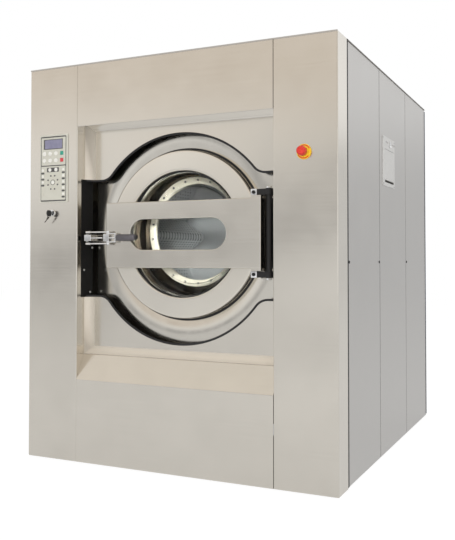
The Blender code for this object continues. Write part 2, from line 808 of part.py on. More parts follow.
def build_rear_fittings():
    """Water inlets on one manifold, the drain pipe and the cable gland, all seated on the rear cover."""
    seat = CABINET_DEPTH + CLEARANCE
    end = CABINET_DEPTH + REAR_FITTING_LENGTH
    reach = (INLET_COUNT - 1) * INLET_PITCH / 2 + INLET_PLATE_MARGIN
    inlets = box("water_inlets", (INLET_X - reach, y_at(seat), INLET_Z - INLET_PLATE_MARGIN),
                 (INLET_X + reach, y_at(seat + INLET_PLATE), INLET_Z + INLET_PLATE_MARGIN))
    for index in range(INLET_COUNT):
        x = INLET_X + (index - (INLET_COUNT - 1) / 2) * INLET_PITCH
        nipple = rod("inlet_nipple", INLET_RADIUS, (x, y_at(seat + INLET_PLATE - WELD_SINK), INLET_Z),
                     (x, y_at(end), INLET_Z))
        bore = rod("inlet_bore", INLET_RADIUS - 2 * DRAIN_WALL, (x, y_at(seat + INLET_PLATE), INLET_Z),
                   (x, y_at(end + OVERRUN), INLET_Z), SMALL_STEPS)
        weld(inlets, nipple)
        cut(inlets, bore)
    finish(inlets, BRASS)
    bore = DRAIN_RADIUS - DRAIN_WALL
    profile = [(bore, end - seat), (DRAIN_RADIUS, end - seat), (DRAIN_RADIUS, DRAIN_FLANGE),
               (DRAIN_FLANGE_RADIUS, DRAIN_FLANGE), (DRAIN_FLANGE_RADIUS, 0), (bore, 0)]
    finish(turned("drain_outlet", profile, (0, y_at(seat), DRAIN_Z), steps=ROUND_STEPS), BLACK_PLASTIC)
    gland = rod("cable_gland", GLAND_HEX_RADIUS, (GLAND_X, y_at(seat), GLAND_Z),
                (GLAND_X, y_at(seat + GLAND_LENGTH / 2), GLAND_Z), 6)
    nose = rod("gland_nose", GLAND_RADIUS, (GLAND_X, y_at(seat + GLAND_LENGTH / 2 - WELD_SINK), GLAND_Z),
               (GLAND_X, y_at(seat + GLAND_LENGTH), GLAND_Z))
    hole = rod("gland_hole", GLAND_BORE, (GLAND_X, y_at(seat + GLAND_LENGTH / 2), GLAND_Z),
               (GLAND_X, y_at(seat + GLAND_LENGTH + OVERRUN), GLAND_Z), SMALL_STEPS)
    weld(gland, nose)
    cut(gland, hole)
    finish(gland, BLACK_PLASTIC)


# Controls

def build_control_housing():
    """The control housing: a box through the column's window, with a lip on the face and key bores."""
    half = PANEL_WIDTH / 2
    neck = half - PANEL_LIP - CLEARANCE
    shrink = PANEL_LIP + CLEARANCE
    face = box("control_housing", (PANEL_X - half, y_at(-PANEL_STANDS_OUT), PANEL_LOW),
               (PANEL_X + half, y_at(-CLEARANCE), PANEL_HIGH))
    body = box("housing_body", (PANEL_X - neck, y_at(-PANEL_STANDS_OUT / 2), PANEL_LOW + shrink),
               (PANEL_X + neck, y_at(HOUSING_DEPTH), PANEL_HIGH - shrink))
    weld(face, body)
    for row in range(KEY_ROWS):
        for column in range(KEY_COLUMNS):
            bore = key_shape("key_bore", row, column, RUNNING_CLEARANCE,
                             -PANEL_STANDS_OUT - OVERRUN, -PANEL_STANDS_OUT + KEY_BORE_DEPTH)
            cut(face, bore)
    return finish(face, KEYPAD)


def key_place(row, column):
    return KEY_FIRST_X + column * KEY_PITCH_X, KEY_TOP_Z - row * KEY_PITCH_Z


def key_shape(name, row, column, grow, start, end):
    """A round key, or a square one in the last column, between two depths."""
    x, z = key_place(row, column)
    if column == KEY_COLUMNS - 1:
        half = SQUARE_KEY_HALF + grow
        return box(name, (x - half, y_at(start), z - half), (x + half, y_at(end), z + half))
    return rod(name, KEY_RADIUS + grow, (x, y_at(start), z), (x, y_at(end), z), SMALL_STEPS)


def build_keys():
    front = -PANEL_STANDS_OUT - KEY_STANDS_OUT
    for row in range(KEY_ROWS):
        for column in range(KEY_COLUMNS):
            last = column == KEY_COLUMNS - 1
            number = row * (KEY_COLUMNS - 1) + column + 1
            name = ("start_key", "stop_key")[row] if last else f"program_key_{number}"
            key = key_shape(name, row, column, 0, front, front + KEY_LENGTH)
            look = (KEY_GREEN, KEY_RED)[row] if last else KEY_WHITE
            finish(key, look)


def build_lock():
    """The key lock's bezel with its barrel, and the key with the plug that turns with it."""
    bore = PLUG_RADIUS + CLEARANCE
    length = LOCK_STANDS_OUT + LOCK_BARREL_LENGTH
    seat = LOCK_STANDS_OUT - CLEARANCE
    floor = PLUG_LENGTH + CLEARANCE
    profile = [(0, length), (LOCK_BARREL_RADIUS, length), (LOCK_BARREL_RADIUS, seat),
               (LOCK_RADIUS, seat), (LOCK_RADIUS, LOCK_EDGE), (LOCK_RADIUS - LOCK_EDGE, 0),
               (bore, 0), (bore, floor), (0, floor)]
    bezel = turned("key_lock_bezel", profile, (LOCK_X, y_at(-LOCK_STANDS_OUT), LOCK_Z),
                   steps=ROUND_STEPS, closed=False)
    finish(bezel, CHROME)
    front = -LOCK_STANDS_OUT
    key = rod("switch_key", PLUG_RADIUS, (LOCK_X, y_at(front), LOCK_Z),
              (LOCK_X, y_at(front + PLUG_LENGTH), LOCK_Z), SMALL_STEPS)
    across, up = KEY_BOW_THICKNESS / 2, KEY_NECK_WIDTH / 2
    neck = box("key_neck", (LOCK_X - across, y_at(front - KEY_NECK_LENGTH), LOCK_Z - up),
               (LOCK_X + across, y_at(front + WELD_SINK), LOCK_Z + up))
    bow_front = front - KEY_NECK_LENGTH - KEY_BOW_RADIUS + WELD_SINK
    bow = rod("key_bow", KEY_BOW_RADIUS, (LOCK_X - KEY_BOW_THICKNESS, y_at(bow_front), LOCK_Z),
              (LOCK_X + KEY_BOW_THICKNESS, y_at(bow_front), LOCK_Z), SMALL_STEPS)
    weld(key, neck, bow)
    finish(key, BLACK_PLASTIC)


def build_stop():
    """The emergency stop: a yellow disc with its collar and barrel, and the red head on its stem."""
    bore = STOP_NECK_RADIUS + RUNNING_CLEARANCE
    seat = STOP_COLLAR_LENGTH - CLEARANCE
    disc_front = seat - STOP_DISC_THICKNESS
    length = STOP_COLLAR_LENGTH + STOP_BARREL_LENGTH
    profile = [(bore, length), (STOP_BARREL_RADIUS, length), (STOP_BARREL_RADIUS, seat),
               (STOP_DISC_RADIUS, seat), (STOP_DISC_RADIUS, disc_front),
               (STOP_COLLAR_RADIUS, disc_front), (STOP_COLLAR_RADIUS, 0), (bore, 0)]
    centre = (STOP_X, y_at(-STOP_COLLAR_LENGTH), STOP_Z)
    base = turned("stop_switch_base", profile, centre, steps=ROUND_STEPS)
    finish(base, STOP_YELLOW)
    head = STOP_STANDS_OUT - STOP_COLLAR_LENGTH - STOP_TRAVEL - CLEARANCE
    neck_end = STOP_STANDS_OUT + STOP_BARREL_LENGTH - STOP_TRAVEL
    profile = [(0, neck_end), (STOP_NECK_RADIUS, neck_end), (STOP_NECK_RADIUS, head),
               (STOP_HEAD_RADIUS, head)]
    profile += [(STOP_HEAD_RADIUS * across, head * along) for across, along in STOP_HEAD_SHARES]
    button = turned("stop_button", profile, (STOP_X, y_at(-STOP_STANDS_OUT), STOP_Z),
                    steps=ROUND_STEPS, closed=False)
    finish(button, STOP_RED)


def build_hatch_movers():
    """The hatch flap, hinged along its top edge, and the round quarter-turn knob above it."""
    face = side_panel_x()
    outer = face + HATCH_PLATE
    axis_x = outer - FLAP_BARREL_RADIUS
    axis_z = POCKET_HIGH - FLAP_BARREL_RADIUS - RUNNING_CLEARANCE
    start = POCKET_LEFT_DEPTH + FLAP_EDGE_GAP
    end = POCKET_RIGHT_DEPTH - FLAP_EDGE_GAP
    flap = box("hatch_flap", (outer - FLAP_THICKNESS, y_at(start), POCKET_LOW + FLAP_FINGER_GAP),
               (outer, y_at(end), axis_z))
    barrel = rod("flap_barrel", FLAP_BARREL_RADIUS, (axis_x, y_at(POCKET_LEFT_DEPTH + CLEARANCE), axis_z),
                 (axis_x, y_at(POCKET_RIGHT_DEPTH - CLEARANCE), axis_z), SMALL_STEPS)
    weld(flap, barrel)
    set_origin(finish(flap, SIDE_STEEL), (axis_x, y_at((start + end) / 2), axis_z))
    seat = outer + CLEARANCE
    rise = WIDTH / 2 - seat
    profile = [(0, rise), (KNOB_RADIUS - KNOB_EDGE, rise), (KNOB_RADIUS, rise - KNOB_EDGE),
               (KNOB_RADIUS, 0), (KNOB_STEM_RADIUS, 0), (KNOB_STEM_RADIUS, -KNOB_STEM_LENGTH),
               (0, -KNOB_STEM_LENGTH)]
    knob = turned("hatch_knob", profile, (seat, y_at(KNOB_DEPTH), KNOB_Z), axis="X",
                  steps=ROUND_STEPS, closed=False)
    finish(knob, CHROME)


# Tub

def build_tub_shell():
    """The tub: a turned shell with a front opening, welded to a cradle of two plates on two feet."""
    length = TUB_REAR_DEPTH - TUB_FRONT_DEPTH
    inner = TUB_RADIUS - TUB_WALL
    profile = [(TUB_HUB_RADIUS, length), (TUB_RADIUS, length), (TUB_RADIUS, 0), (TUB_MOUTH_RADIUS, 0),
               (TUB_MOUTH_RADIUS, TUB_WALL), (inner, TUB_WALL), (inner, length - TUB_WALL),
               (TUB_HUB_RADIUS, length - TUB_WALL)]
    tub = turned("tub_shell", profile, (0, y_at(TUB_FRONT_DEPTH), TUB_AXIS_Z), steps=HIDDEN_STEPS)
    saddle = TUB_RADIUS - TUB_WALL / 2
    rise = math.asin((TUB_AXIS_Z - CRADLE_TOP) / saddle)
    outline = [(-CRADLE_HALF_WIDTH, CRADLE_TOP), (-CRADLE_HALF_WIDTH, CRADLE_BOTTOM),
               (CRADLE_HALF_WIDTH, CRADLE_BOTTOM), (CRADLE_HALF_WIDTH, CRADLE_TOP)]
    outline += arc((0, TUB_AXIS_Z), saddle, -rise, rise - math.pi, SADDLE_STEPS)
    for depth in (CRADLE_FRONT_DEPTH, CRADLE_REAR_DEPTH):
        plate = flat_piece("cradle_plate", [outline], (0, y_at(depth), 0), CRADLE_PLATE)
        foot = box("cradle_foot", (-CRADLE_HALF_WIDTH, y_at(depth - CRADLE_FOOT / 2), CRADLE_BOTTOM),
                   (CRADLE_HALF_WIDTH, y_at(depth + CRADLE_FOOT / 2), CRADLE_BOTTOM + CRADLE_PLATE))
        weld(tub, plate, foot)
    return finish(tub, DARK_STEEL)


def collar_foot_depth():
    """Depth at which the tub front's neck and return end on the tub shell."""
    return TUB_FRONT_DEPTH - CLEARANCE


def collar_profile():
    """(radius, depth) rings of the tub front: neck, gasket seat, step behind the door ring, and dish."""
    profile = [(COLLAR_NECK_RADIUS, collar_foot_depth()), (COLLAR_NECK_RADIUS, COLLAR_SEAT_DEPTH),
               (COLLAR_SEAT_RADIUS, COLLAR_SEAT_DEPTH)]
    start = COLLAR_SEAT_RADIUS + COLLAR_NECK_FLARE
    width = COLLAR_DISH_WIDTH - COLLAR_NECK_FLARE
    for step in range(COLLAR_RINGS + 1):
        share = step / COLLAR_RINGS
        depth = COLLAR_RIM_DEPTH - (COLLAR_RIM_DEPTH - COLLAR_FLANGE_DEPTH) * math.sin(share * math.pi / 2)
        profile.append((start + width * share, depth))
    return profile


def build_tub_front():
    """The polished tub front: a neck with a flat gasket seat, and a dish lofted to the winged outline.

    A return along the outline stands on the tub shell; the keeper hook stands on the left wing.
    """
    outline = even_points(cutout_outline(COLLAR_MARGIN, COLLAR_WING_X), COLLAR_STEPS)
    angles = [math.atan2(z - DOOR_AXIS_Z, x) for x, z in outline]
    mesh = bpy.data.meshes.new("tub_front")
    work = bmesh.new()
    rings = [[(radius * math.cos(a), y_at(depth), DOOR_AXIS_Z + radius * math.sin(a)) for a in angles]
             for radius, depth in collar_profile()]
    for depth in (COLLAR_FLANGE_DEPTH, collar_foot_depth()):
        rings.append([(x, y_at(depth), z) for x, z in outline])
    grid = [[work.verts.new(point) for point in ring] for ring in rings]
    for inner, outer in zip(grid, grid[1:]):
        for i in range(COLLAR_STEPS):
            j = (i + 1) % COLLAR_STEPS
            work.faces.new((inner[i], inner[j], outer[j], outer[i]))
    bmesh.ops.recalc_face_normals(work, faces=work.faces)
    foremost = min(work.faces, key=lambda face: face.calc_center_median().y)
    if foremost.normal.y > 0:
        bmesh.ops.reverse_faces(work, faces=work.faces)
    work.to_mesh(mesh)
    work.free()
    front = new_object("tub_front", mesh)
    modifier(front, "Sheet", "SOLIDIFY", thickness=COLLAR_SHEET, offset=-1, use_even_offset=True)
    weld(front, keeper_hook())
    return finish(smooth(front), POLISHED)


def even_points(outline, count):
    """Points spread evenly along a closed outline."""
    loop = [Vector(point) for point in outline + outline[:1]]
    lengths = [(b - a).length for a, b in zip(loop, loop[1:])]
    total = sum(lengths)
    points, walked, index = [], 0, 0
    for step in range(count):
        target = total * step / count
        while walked + lengths[index] < target:
            walked += lengths[index]
            index += 1
        points.append(tuple(loop[index].lerp(loop[index + 1], (target - walked) / lengths[index])))
    return points


def keeper_hook():
    """The hook that the clamp's link pulls on: a shank from the tub front, a nose in front of the bar."""
    left, right = KEEPER_SHANK_X, KEEPER_SHANK_X + KEEPER_SHANK_WIDTH
    tip = left - KEEPER_NOSE_LENGTH
    nose_back = KEEPER_NOSE_DEPTH + KEEPER_NOSE_THICKNESS
    foot = COLLAR_FLANGE_DEPTH + COLLAR_SHEET / 2
    outline = [(right, y_at(KEEPER_NOSE_DEPTH)), (right, y_at(foot)), (left, y_at(foot)),
               (left, y_at(nose_back)), (tip, y_at(nose_back)), (tip, y_at(KEEPER_NOSE_DEPTH))]
    return flat_piece("keeper_hook", [outline], (0, 0, CLAMP_Z), KEEPER_HEIGHT, facing="Z")


def build_gasket():
    """The rubber door gasket, a ring between the tub front's seat and the door ring."""
    front = RING_FRONT_DEPTH + RING_THICKNESS + CLEARANCE
    length = COLLAR_SEAT_DEPTH - CLEARANCE - front
    edge = GASKET_EDGE
    profile = [(GASKET_INNER_RADIUS, length), (GASKET_OUTER_RADIUS, length),
               (GASKET_OUTER_RADIUS, edge), (GASKET_OUTER_RADIUS - edge, 0),
               (GASKET_INNER_RADIUS + edge, 0), (GASKET_INNER_RADIUS, edge)]
    return finish(turned("door_gasket", profile, (0, y_at(front), DOOR_AXIS_Z)), RUBBER)


def build_bearing_housing():
    """The bearing housing on the tub's rear, which holds both bearings as one cartridge."""
    bore = SHAFT_RADIUS + CLEARANCE
    profile = [(bore, HOUSING_LENGTH), (HOUSING_RADIUS, HOUSING_LENGTH), (HOUSING_RADIUS, HOUSING_FLANGE),
               (HOUSING_FLANGE_RADIUS, HOUSING_FLANGE), (HOUSING_FLANGE_RADIUS, 0), (bore, 0)]
    start = y_at(TUB_REAR_DEPTH + CLEARANCE)
    return finish(turned("bearing_housing", profile, (0, start, TUB_AXIS_Z), steps=HIDDEN_STEPS), CAST)


def build_springs():
    """Four coil springs with closed ends between the base's beams and the cradle's feet."""
    low, high = BASE_HEIGHT + CLEARANCE, CRADLE_BOTTOM - CLEARANCE
    springs = []
    for row, depth in (("front", CRADLE_FRONT_DEPTH), ("rear", CRADLE_REAR_DEPTH)):
        for label, side in (("left", -1), ("right", 1)):
            points = coil_points(side * SPRING_X, y_at(depth), low + SPRING_WIRE_RADIUS,
                                 high - SPRING_WIRE_RADIUS)
            spring = tube(f"spring_{row}_{label}", points, SPRING_WIRE_RADIUS, 1)
            fit_height(spring, low, high)
            springs.append(finish(spring, PAINT))
    gap = least_gap([Vector(point) for point in points], SPRING_WIRE_RADIUS)
    print("spring: least gap to itself", round(gap * 1000, 2), "mm")
    return springs


def least_gap(points, radius):
    """Least clear distance between turns of a coil, measured between its points."""
    apart = COIL_POINTS * 3 // 4
    pairs = ((a, b) for i, a in enumerate(points) for b in points[i + apart:])
    return min((a - b).length for a, b in pairs) - 2 * radius


def coil_points(x, y, low, high):
    """Points along a coil whose pitch fades out over the last half turn at each end."""
    steps = SPRING_TURNS * COIL_POINTS
    rises = [min(1, i / (COIL_POINTS / 2), (steps - 1 - i) / (COIL_POINTS / 2)) for i in range(steps)]
    total = sum(rises)
    points, climbed = [], 0
    for i in range(steps + 1):
        angle = 2 * math.pi * i / COIL_POINTS
        across, along = SPRING_COIL_RADIUS * math.cos(angle), SPRING_COIL_RADIUS * math.sin(angle)
        points.append((x + across, y + along, low + (high - low) * climbed / total))
        climbed += rises[i] if i < steps else 0
    return points


def fit_height(obj, low, high):
    """Stretch a mesh a little in height so that it lies exactly between two levels."""
    heights = [(obj.matrix_world @ vert.co).z for vert in obj.data.vertices]
    least, most = min(heights), max(heights)
    for vert in obj.data.vertices:
        vert.co.z = low + (vert.co.z - least) * (high - low) / (most - least)
    return obj


# Hinge

def arm_levels():
    """Lower and upper ends of both hinge arms."""
    upper = BAR_HIGH + BAR_END_OVERHANG + CLEARANCE
    lower = BAR_LOW - BAR_END_OVERHANG - CLEARANCE
    return {"upper_hinge_arm": (upper, upper + ARM_HEIGHT),
            "lower_hinge_arm": (lower - ARM_HEIGHT, lower)}


def build_hinge_bracket():
    """The hinge bracket on the tub front: a base, a web and a face plate that carry one long knuckle."""
    levels = arm_levels()
    low = levels["lower_hinge_arm"][1] + CLEARANCE
    high = levels["upper_hinge_arm"][0] - CLEARANCE
    axis_y = y_at(HINGE_DEPTH)
    base_back = y_at(COLLAR_FLANGE_DEPTH - CLEARANCE)
    bracket = rod("hinge_bracket", KNUCKLE_RADIUS, (HINGE_X, axis_y, low), (HINGE_X, axis_y, high))
    plate_low, plate_high = low + BRACKET_INSET, high - BRACKET_INSET
    half_web = BRACKET_WEB / 2
    plate_front = y_at(BRACKET_PLATE_DEPTH)
    web = box("bracket_web", (HINGE_X - half_web, axis_y, plate_low),
              (HINGE_X + half_web, plate_front + BRACKET_PLATE / 2, plate_high))
    face = box("bracket_face", (BRACKET_LEFT_X, plate_front, plate_low),
               (BRACKET_RIGHT_X, plate_front + BRACKET_PLATE, plate_high))
    rib = box("bracket_rib", (BRACKET_RIGHT_X - half_web, plate_front, plate_low),
              (BRACKET_RIGHT_X, base_back, plate_high))
    base_left = COLLAR_SEAT_RADIUS + COLLAR_DISH_WIDTH + WELD_SINK
    base = box("bracket_base", (base_left, base_back - BRACKET_BASE, plate_low),
               (BRACKET_RIGHT_X + BRACKET_BASE, base_back, plate_high))
    bore = rod("knuckle_bore", HINGE_PIN_RADIUS + CLEARANCE, (HINGE_X, axis_y, low - OVERRUN),
               (HINGE_X, axis_y, high + OVERRUN))
    weld(bracket, web, face, rib, base)
    cut(bracket, bore)
    return finish(bracket, DARK_STEEL)


def build_hinge_pin():
    """The hinge pin with a nut at each end."""
    levels = arm_levels()
    low = levels["lower_hinge_arm"][0] - CLEARANCE - HINGE_NUT_HEIGHT
    high = levels["upper_hinge_arm"][1] + CLEARANCE + HINGE_NUT_HEIGHT
    axis_y = y_at(HINGE_DEPTH)
    pin = rod("hinge_pin", HINGE_PIN_RADIUS, (HINGE_X, axis_y, low), (HINGE_X, axis_y, high))
    for start, end in ((low, low + HINGE_NUT_HEIGHT), (high - HINGE_NUT_HEIGHT, high)):
        weld(pin, rod("hinge_nut", HINGE_NUT_RADIUS, (HINGE_X, axis_y, start), (HINGE_X, axis_y, end), 6))
    return finish(pin, CHROME)


def build_hinge_arms():
    """Two flat arms on the ends of the crossbar, each with a boss round the hinge pin."""
    arms = []
    axis_y = y_at(HINGE_DEPTH)
    half = ARM_THICKNESS / 2
    for name, (low, high) in arm_levels().items():
        arm = box(name, (ARM_LEFT_X, axis_y - half, low), (HINGE_X, axis_y + half, high))
        boss = rod("arm_boss", ARM_BOSS_RADIUS, (HINGE_X, axis_y, low), (HINGE_X, axis_y, high))
        bore = rod("arm_bore", HINGE_PIN_RADIUS + CLEARANCE, (HINGE_X, axis_y, low - OVERRUN),
                   (HINGE_X, axis_y, high + OVERRUN))
        weld(arm, boss)
        cut(arm, bore)
        arms.append(set_origin(finish(arm, DARK_STEEL), (HINGE_X, axis_y, (low + high) / 2)))
    return arms


# Door

def build_door_ring():
    """The door ring, turned, with a rabbet behind that holds the glass flange."""
    inner, outer, edge, step = RING_INNER_RADIUS, RING_OUTER_RADIUS, RING_EDGE, RING_EDGE_STEP
    rabbet = GLASS_FLANGE_RADIUS + CLEARANCE
    seat = GLASS_SEAT_DEPTH - RING_FRONT_DEPTH
    profile = [(rabbet, RING_THICKNESS), (outer - step, RING_THICKNESS),
               (outer, RING_THICKNESS - step), (outer, edge), (outer - step, step),
               (outer - edge, 0), (inner + edge, 0), (inner, edge), (inner, seat), (rabbet, seat)]
    return finish(turned("door_ring", profile, (0, y_at(RING_FRONT_DEPTH), DOOR_AXIS_Z)), STEEL)


def build_door_glass():
    """The bowl glass: a flange in the ring's rabbet, a wall that draws in and a flat bottom."""
    thick = GLASS_THICKNESS
    deep = BOWL_BOTTOM_DEPTH - GLASS_SEAT_DEPTH - CLEARANCE
    corner, step = BOWL_CORNER, BOWL_CORNER_STEP
    outside, inside = BOWL_BOTTOM_RADIUS, BOWL_BOTTOM_RADIUS - thick
    outer = [(0, deep), (outside - corner, deep), (outside - step, deep - step),
             (outside, deep - corner), (BOWL_MOUTH_RADIUS, 2 * thick),
             (BOWL_MOUTH_RADIUS + thick, thick), (GLASS_FLANGE_RADIUS, thick), (GLASS_FLANGE_RADIUS, 0)]
    floor = deep - thick
    inner = [(BOWL_MOUTH_RADIUS - thick / 2, 0), (BOWL_MOUTH_RADIUS - thick, thick),
             (inside, deep - corner), (inside - step, floor - step), (inside - corner, floor),
             (0, floor)]
    seat = (0, y_at(GLASS_SEAT_DEPTH + CLEARANCE), DOOR_AXIS_Z)
    glass = turned("door_glass", outer + inner, seat, closed=False)
    return finish(glass, GLASS)


def stadium(half_length, low, high, steps):
    """A slot outline with round ends."""
    radius = (high - low) / 2
    middle = (high + low) / 2
    right = arc((half_length - radius, middle), radius, -math.pi / 2, math.pi / 2, steps)
    return right + [(-x, z) for x, z in reversed(right)]


def build_crossbar():
    """The crossbar: a pan with a long slot, a heavy end for the hinge arms and the clamp's block."""
    rear = RING_FRONT_DEPTH - CLEARANCE
    bar = pan("crossbar", (BAR_LEFT_X, y_at(BAR_FRONT_DEPTH), BAR_LOW),
              (BAR_RIGHT_X, y_at(rear), BAR_HIGH), (0, 1, 0), BAR_SHEET)
    end = box("bar_end", (BAR_RIGHT_X - BAR_END_WIDTH, y_at(BAR_FRONT_DEPTH), BAR_LOW - BAR_END_OVERHANG),
              (BAR_RIGHT_X, y_at(rear), BAR_HIGH + BAR_END_OVERHANG))
    half = CLAMP_BLOCK_WIDTH / 2
    high = CLAMP_Z + CLAMP_BLOCK_HEIGHT / 2
    low = CLAMP_Z - CLAMP_BLOCK_HEIGHT / 2
    block = box("clamp_block", (CLAMP_X - half, y_at(CLAMP_BLOCK_FRONT_DEPTH), low),
                (CLAMP_X + half, y_at(BAR_FRONT_DEPTH + BAR_SHEET / 2), high))
    bore = rod("block_bore", CLAMP_PIN_RADIUS + CLEARANCE, (CLAMP_X, y_at(CLAMP_DEPTH), low - OVERRUN),
               (CLAMP_X, y_at(CLAMP_DEPTH), high + OVERRUN), SMALL_STEPS)
    outline = stadium(BAR_SLOT_HALF_LENGTH, BAR_SLOT_LOW, BAR_SLOT_HIGH, BAR_SLOT_STEPS)
    slot = flat_piece("bar_slot", [outline], (0, y_at(BAR_FRONT_DEPTH), 0), OVERRUN)
    weld(bar, end, block)
    cut(bar, slot, bore)
    return finish(bar, STEEL)


# Clamp

def build_clamp_lever():
    """The clamp lever: two cheeks on the block's pin, a cross web, a short rod and a knurled grip."""
    half = CLAMP_BLOCK_HEIGHT / 2 + CLEARANCE
    axis = Vector((CLAMP_X, y_at(CLAMP_DEPTH), CLAMP_Z))
    sunk = half + CHEEK_THICKNESS / 2
    up = Vector((0, 0, 1))
    lever = rod("clamp_lever", CLAMP_PIN_RADIUS, axis - up * sunk, axis + up * sunk, SMALL_STEPS)
    crank = link_pin_place()
    stub = half + CHEEK_THICKNESS + CLEARANCE + 2 * LINK_ROD_RADIUS
    end_x = CLAMP_X + CHEEK_LENGTH
    tail = CHEEK_WIDTH / 2
    outline = [(end_x, axis.y + tail)]
    outline += arc((CLAMP_X, axis.y), CHEEK_RADIUS, *CHEEK_PIN_ARC, CHEEK_STEPS)
    outline += arc((crank.x, crank.y), CHEEK_RADIUS, *CHEEK_CRANK_ARC, CHEEK_STEPS)
    outline += [(end_x, axis.y - tail)]
    for side in (-1, 1):
        cheek = flat_piece("cheek", [outline], (0, 0, CLAMP_Z + side * sunk), CHEEK_THICKNESS, facing="Z")
        pin = rod("link_pin", LINK_PIN_RADIUS, crank + up * side * sunk, crank + up * side * stub, SMALL_STEPS)
        weld(lever, cheek, pin)
    web = box("cheek_web", (end_x - CHEEK_THICKNESS, axis.y - tail + CHEEK_INSET, CLAMP_Z - sunk),
              (end_x - CHEEK_INSET, axis.y + tail - CHEEK_INSET, CLAMP_Z + sunk))
    length = GRIP_TIP_X - GRIP_START_X
    body = GRIP_END_X - GRIP_START_X
    rod_length = GRIP_START_X - CLAMP_X - LEVER_ROD_START
    slim, slim_tip = GRIP_RADIUS * GRIP_END_SHARE, GRIP_TIP_RADIUS * GRIP_END_SHARE
    profile = [(0, length), (slim_tip, length), (GRIP_TIP_RADIUS, length - GRIP_EDGE / 2),
               (GRIP_TIP_RADIUS, body), (slim, body), (GRIP_RADIUS, GRIP_SWELL),
               (GRIP_RADIUS, GRIP_EDGE), (slim, 0), (GRIP_ROD_RADIUS, 0),
               (GRIP_ROD_RADIUS, -rod_length), (0, -rod_length)]
    grip = turned("grip", profile, (GRIP_START_X, axis.y, CLAMP_Z), axis="X", steps=ROUND_STEPS,
                  closed=False)
    weld(lever, web, grip)
    return set_origin(finish(lever, CHROME), axis)


def link_pin_place():
    """The point at the middle of the link's pins, a short crank away from the lever's pin."""
    return Vector((CLAMP_X + LINK_CRANK * math.cos(LINK_CRANK_ANGLE),
                   y_at(CLAMP_DEPTH) + LINK_CRANK * math.sin(LINK_CRANK_ANGLE), CLAMP_Z))


def build_clamp_link():
    """The U-shaped link: an eye and a rod above and below the block, joined by a bar behind the hook."""
    pivot = link_pin_place()
    inner = CLAMP_BLOCK_HEIGHT / 2 + CHEEK_THICKNESS + 2 * CLEARANCE
    up = Vector((0, 0, 1))
    offset = inner + LINK_ROD_RADIUS
    corner = Vector((LINK_BAR_X, pivot.y, CLAMP_Z))
    reach = offset + LINK_ROD_RADIUS
    link = rod("clamp_link", LINK_BAR_RADIUS, corner - up * reach, corner + up * reach)
    for side in (-1, 1):
        eye = rod("link_eye", LINK_EYE_RADIUS, pivot + up * side * inner,
                  pivot + up * side * (inner + 2 * LINK_ROD_RADIUS))
        level = up * side * offset
        arm = rod("link_arm", LINK_ROD_RADIUS, corner + level, pivot + level, SMALL_STEPS)
        sleeve_end = corner + Vector((LINK_SLEEVE_LENGTH, 0, 0)) + level
        sleeve = rod("link_sleeve", LINK_SLEEVE_RADIUS, corner + level, sleeve_end, SMALL_STEPS)
        far = pivot + up * side * (reach + OVERRUN)
        bore = rod("eye_bore", LINK_PIN_RADIUS + CLEARANCE, pivot, far, SMALL_STEPS)
        weld(link, eye, arm, sleeve)
        cut(link, bore)
    return set_origin(finish(link, CHROME), pivot)


# Drum and drive

def build_drum():
    """The drum shell, its front ring, three lifters, the shaft with its flange, and the pulley."""
    length = DRUM_REAR_DEPTH - DRUM_FRONT_DEPTH
    inner = DRUM_RADIUS - DRUM_WALL
    profile = [(0, length), (DRUM_RADIUS, length), (DRUM_RADIUS, 0), (DRUM_MOUTH_RADIUS, 0),
               (DRUM_MOUTH_RADIUS, DRUM_WALL), (inner, DRUM_WALL), (inner, length - DRUM_WALL),
               (0, length - DRUM_WALL)]
    shell = turned("drum_shell", profile, (0, y_at(DRUM_FRONT_DEPTH), TUB_AXIS_Z), closed=False)
    front = DRUM_FRONT_DEPTH - CLEARANCE - DRUM_RING_THICKNESS
    edge = DRUM_RING_EDGE
    profile = [(DRUM_RING_INNER, DRUM_RING_THICKNESS), (DRUM_RING_OUTER, DRUM_RING_THICKNESS),
               (DRUM_RING_OUTER, edge), (DRUM_RING_OUTER - edge, 0), (DRUM_RING_INNER + edge, 0),
               (DRUM_RING_INNER, edge)]
    ring = turned("drum_front_ring", profile, (0, y_at(front), TUB_AXIS_Z))
    pieces = [finish(shell, POLISHED), finish(ring, POLISHED)]
    pieces += [build_lifter(index) for index in range(LIFTER_COUNT)]
    pieces += [build_shaft(), build_drum_pulley()]
    return pieces


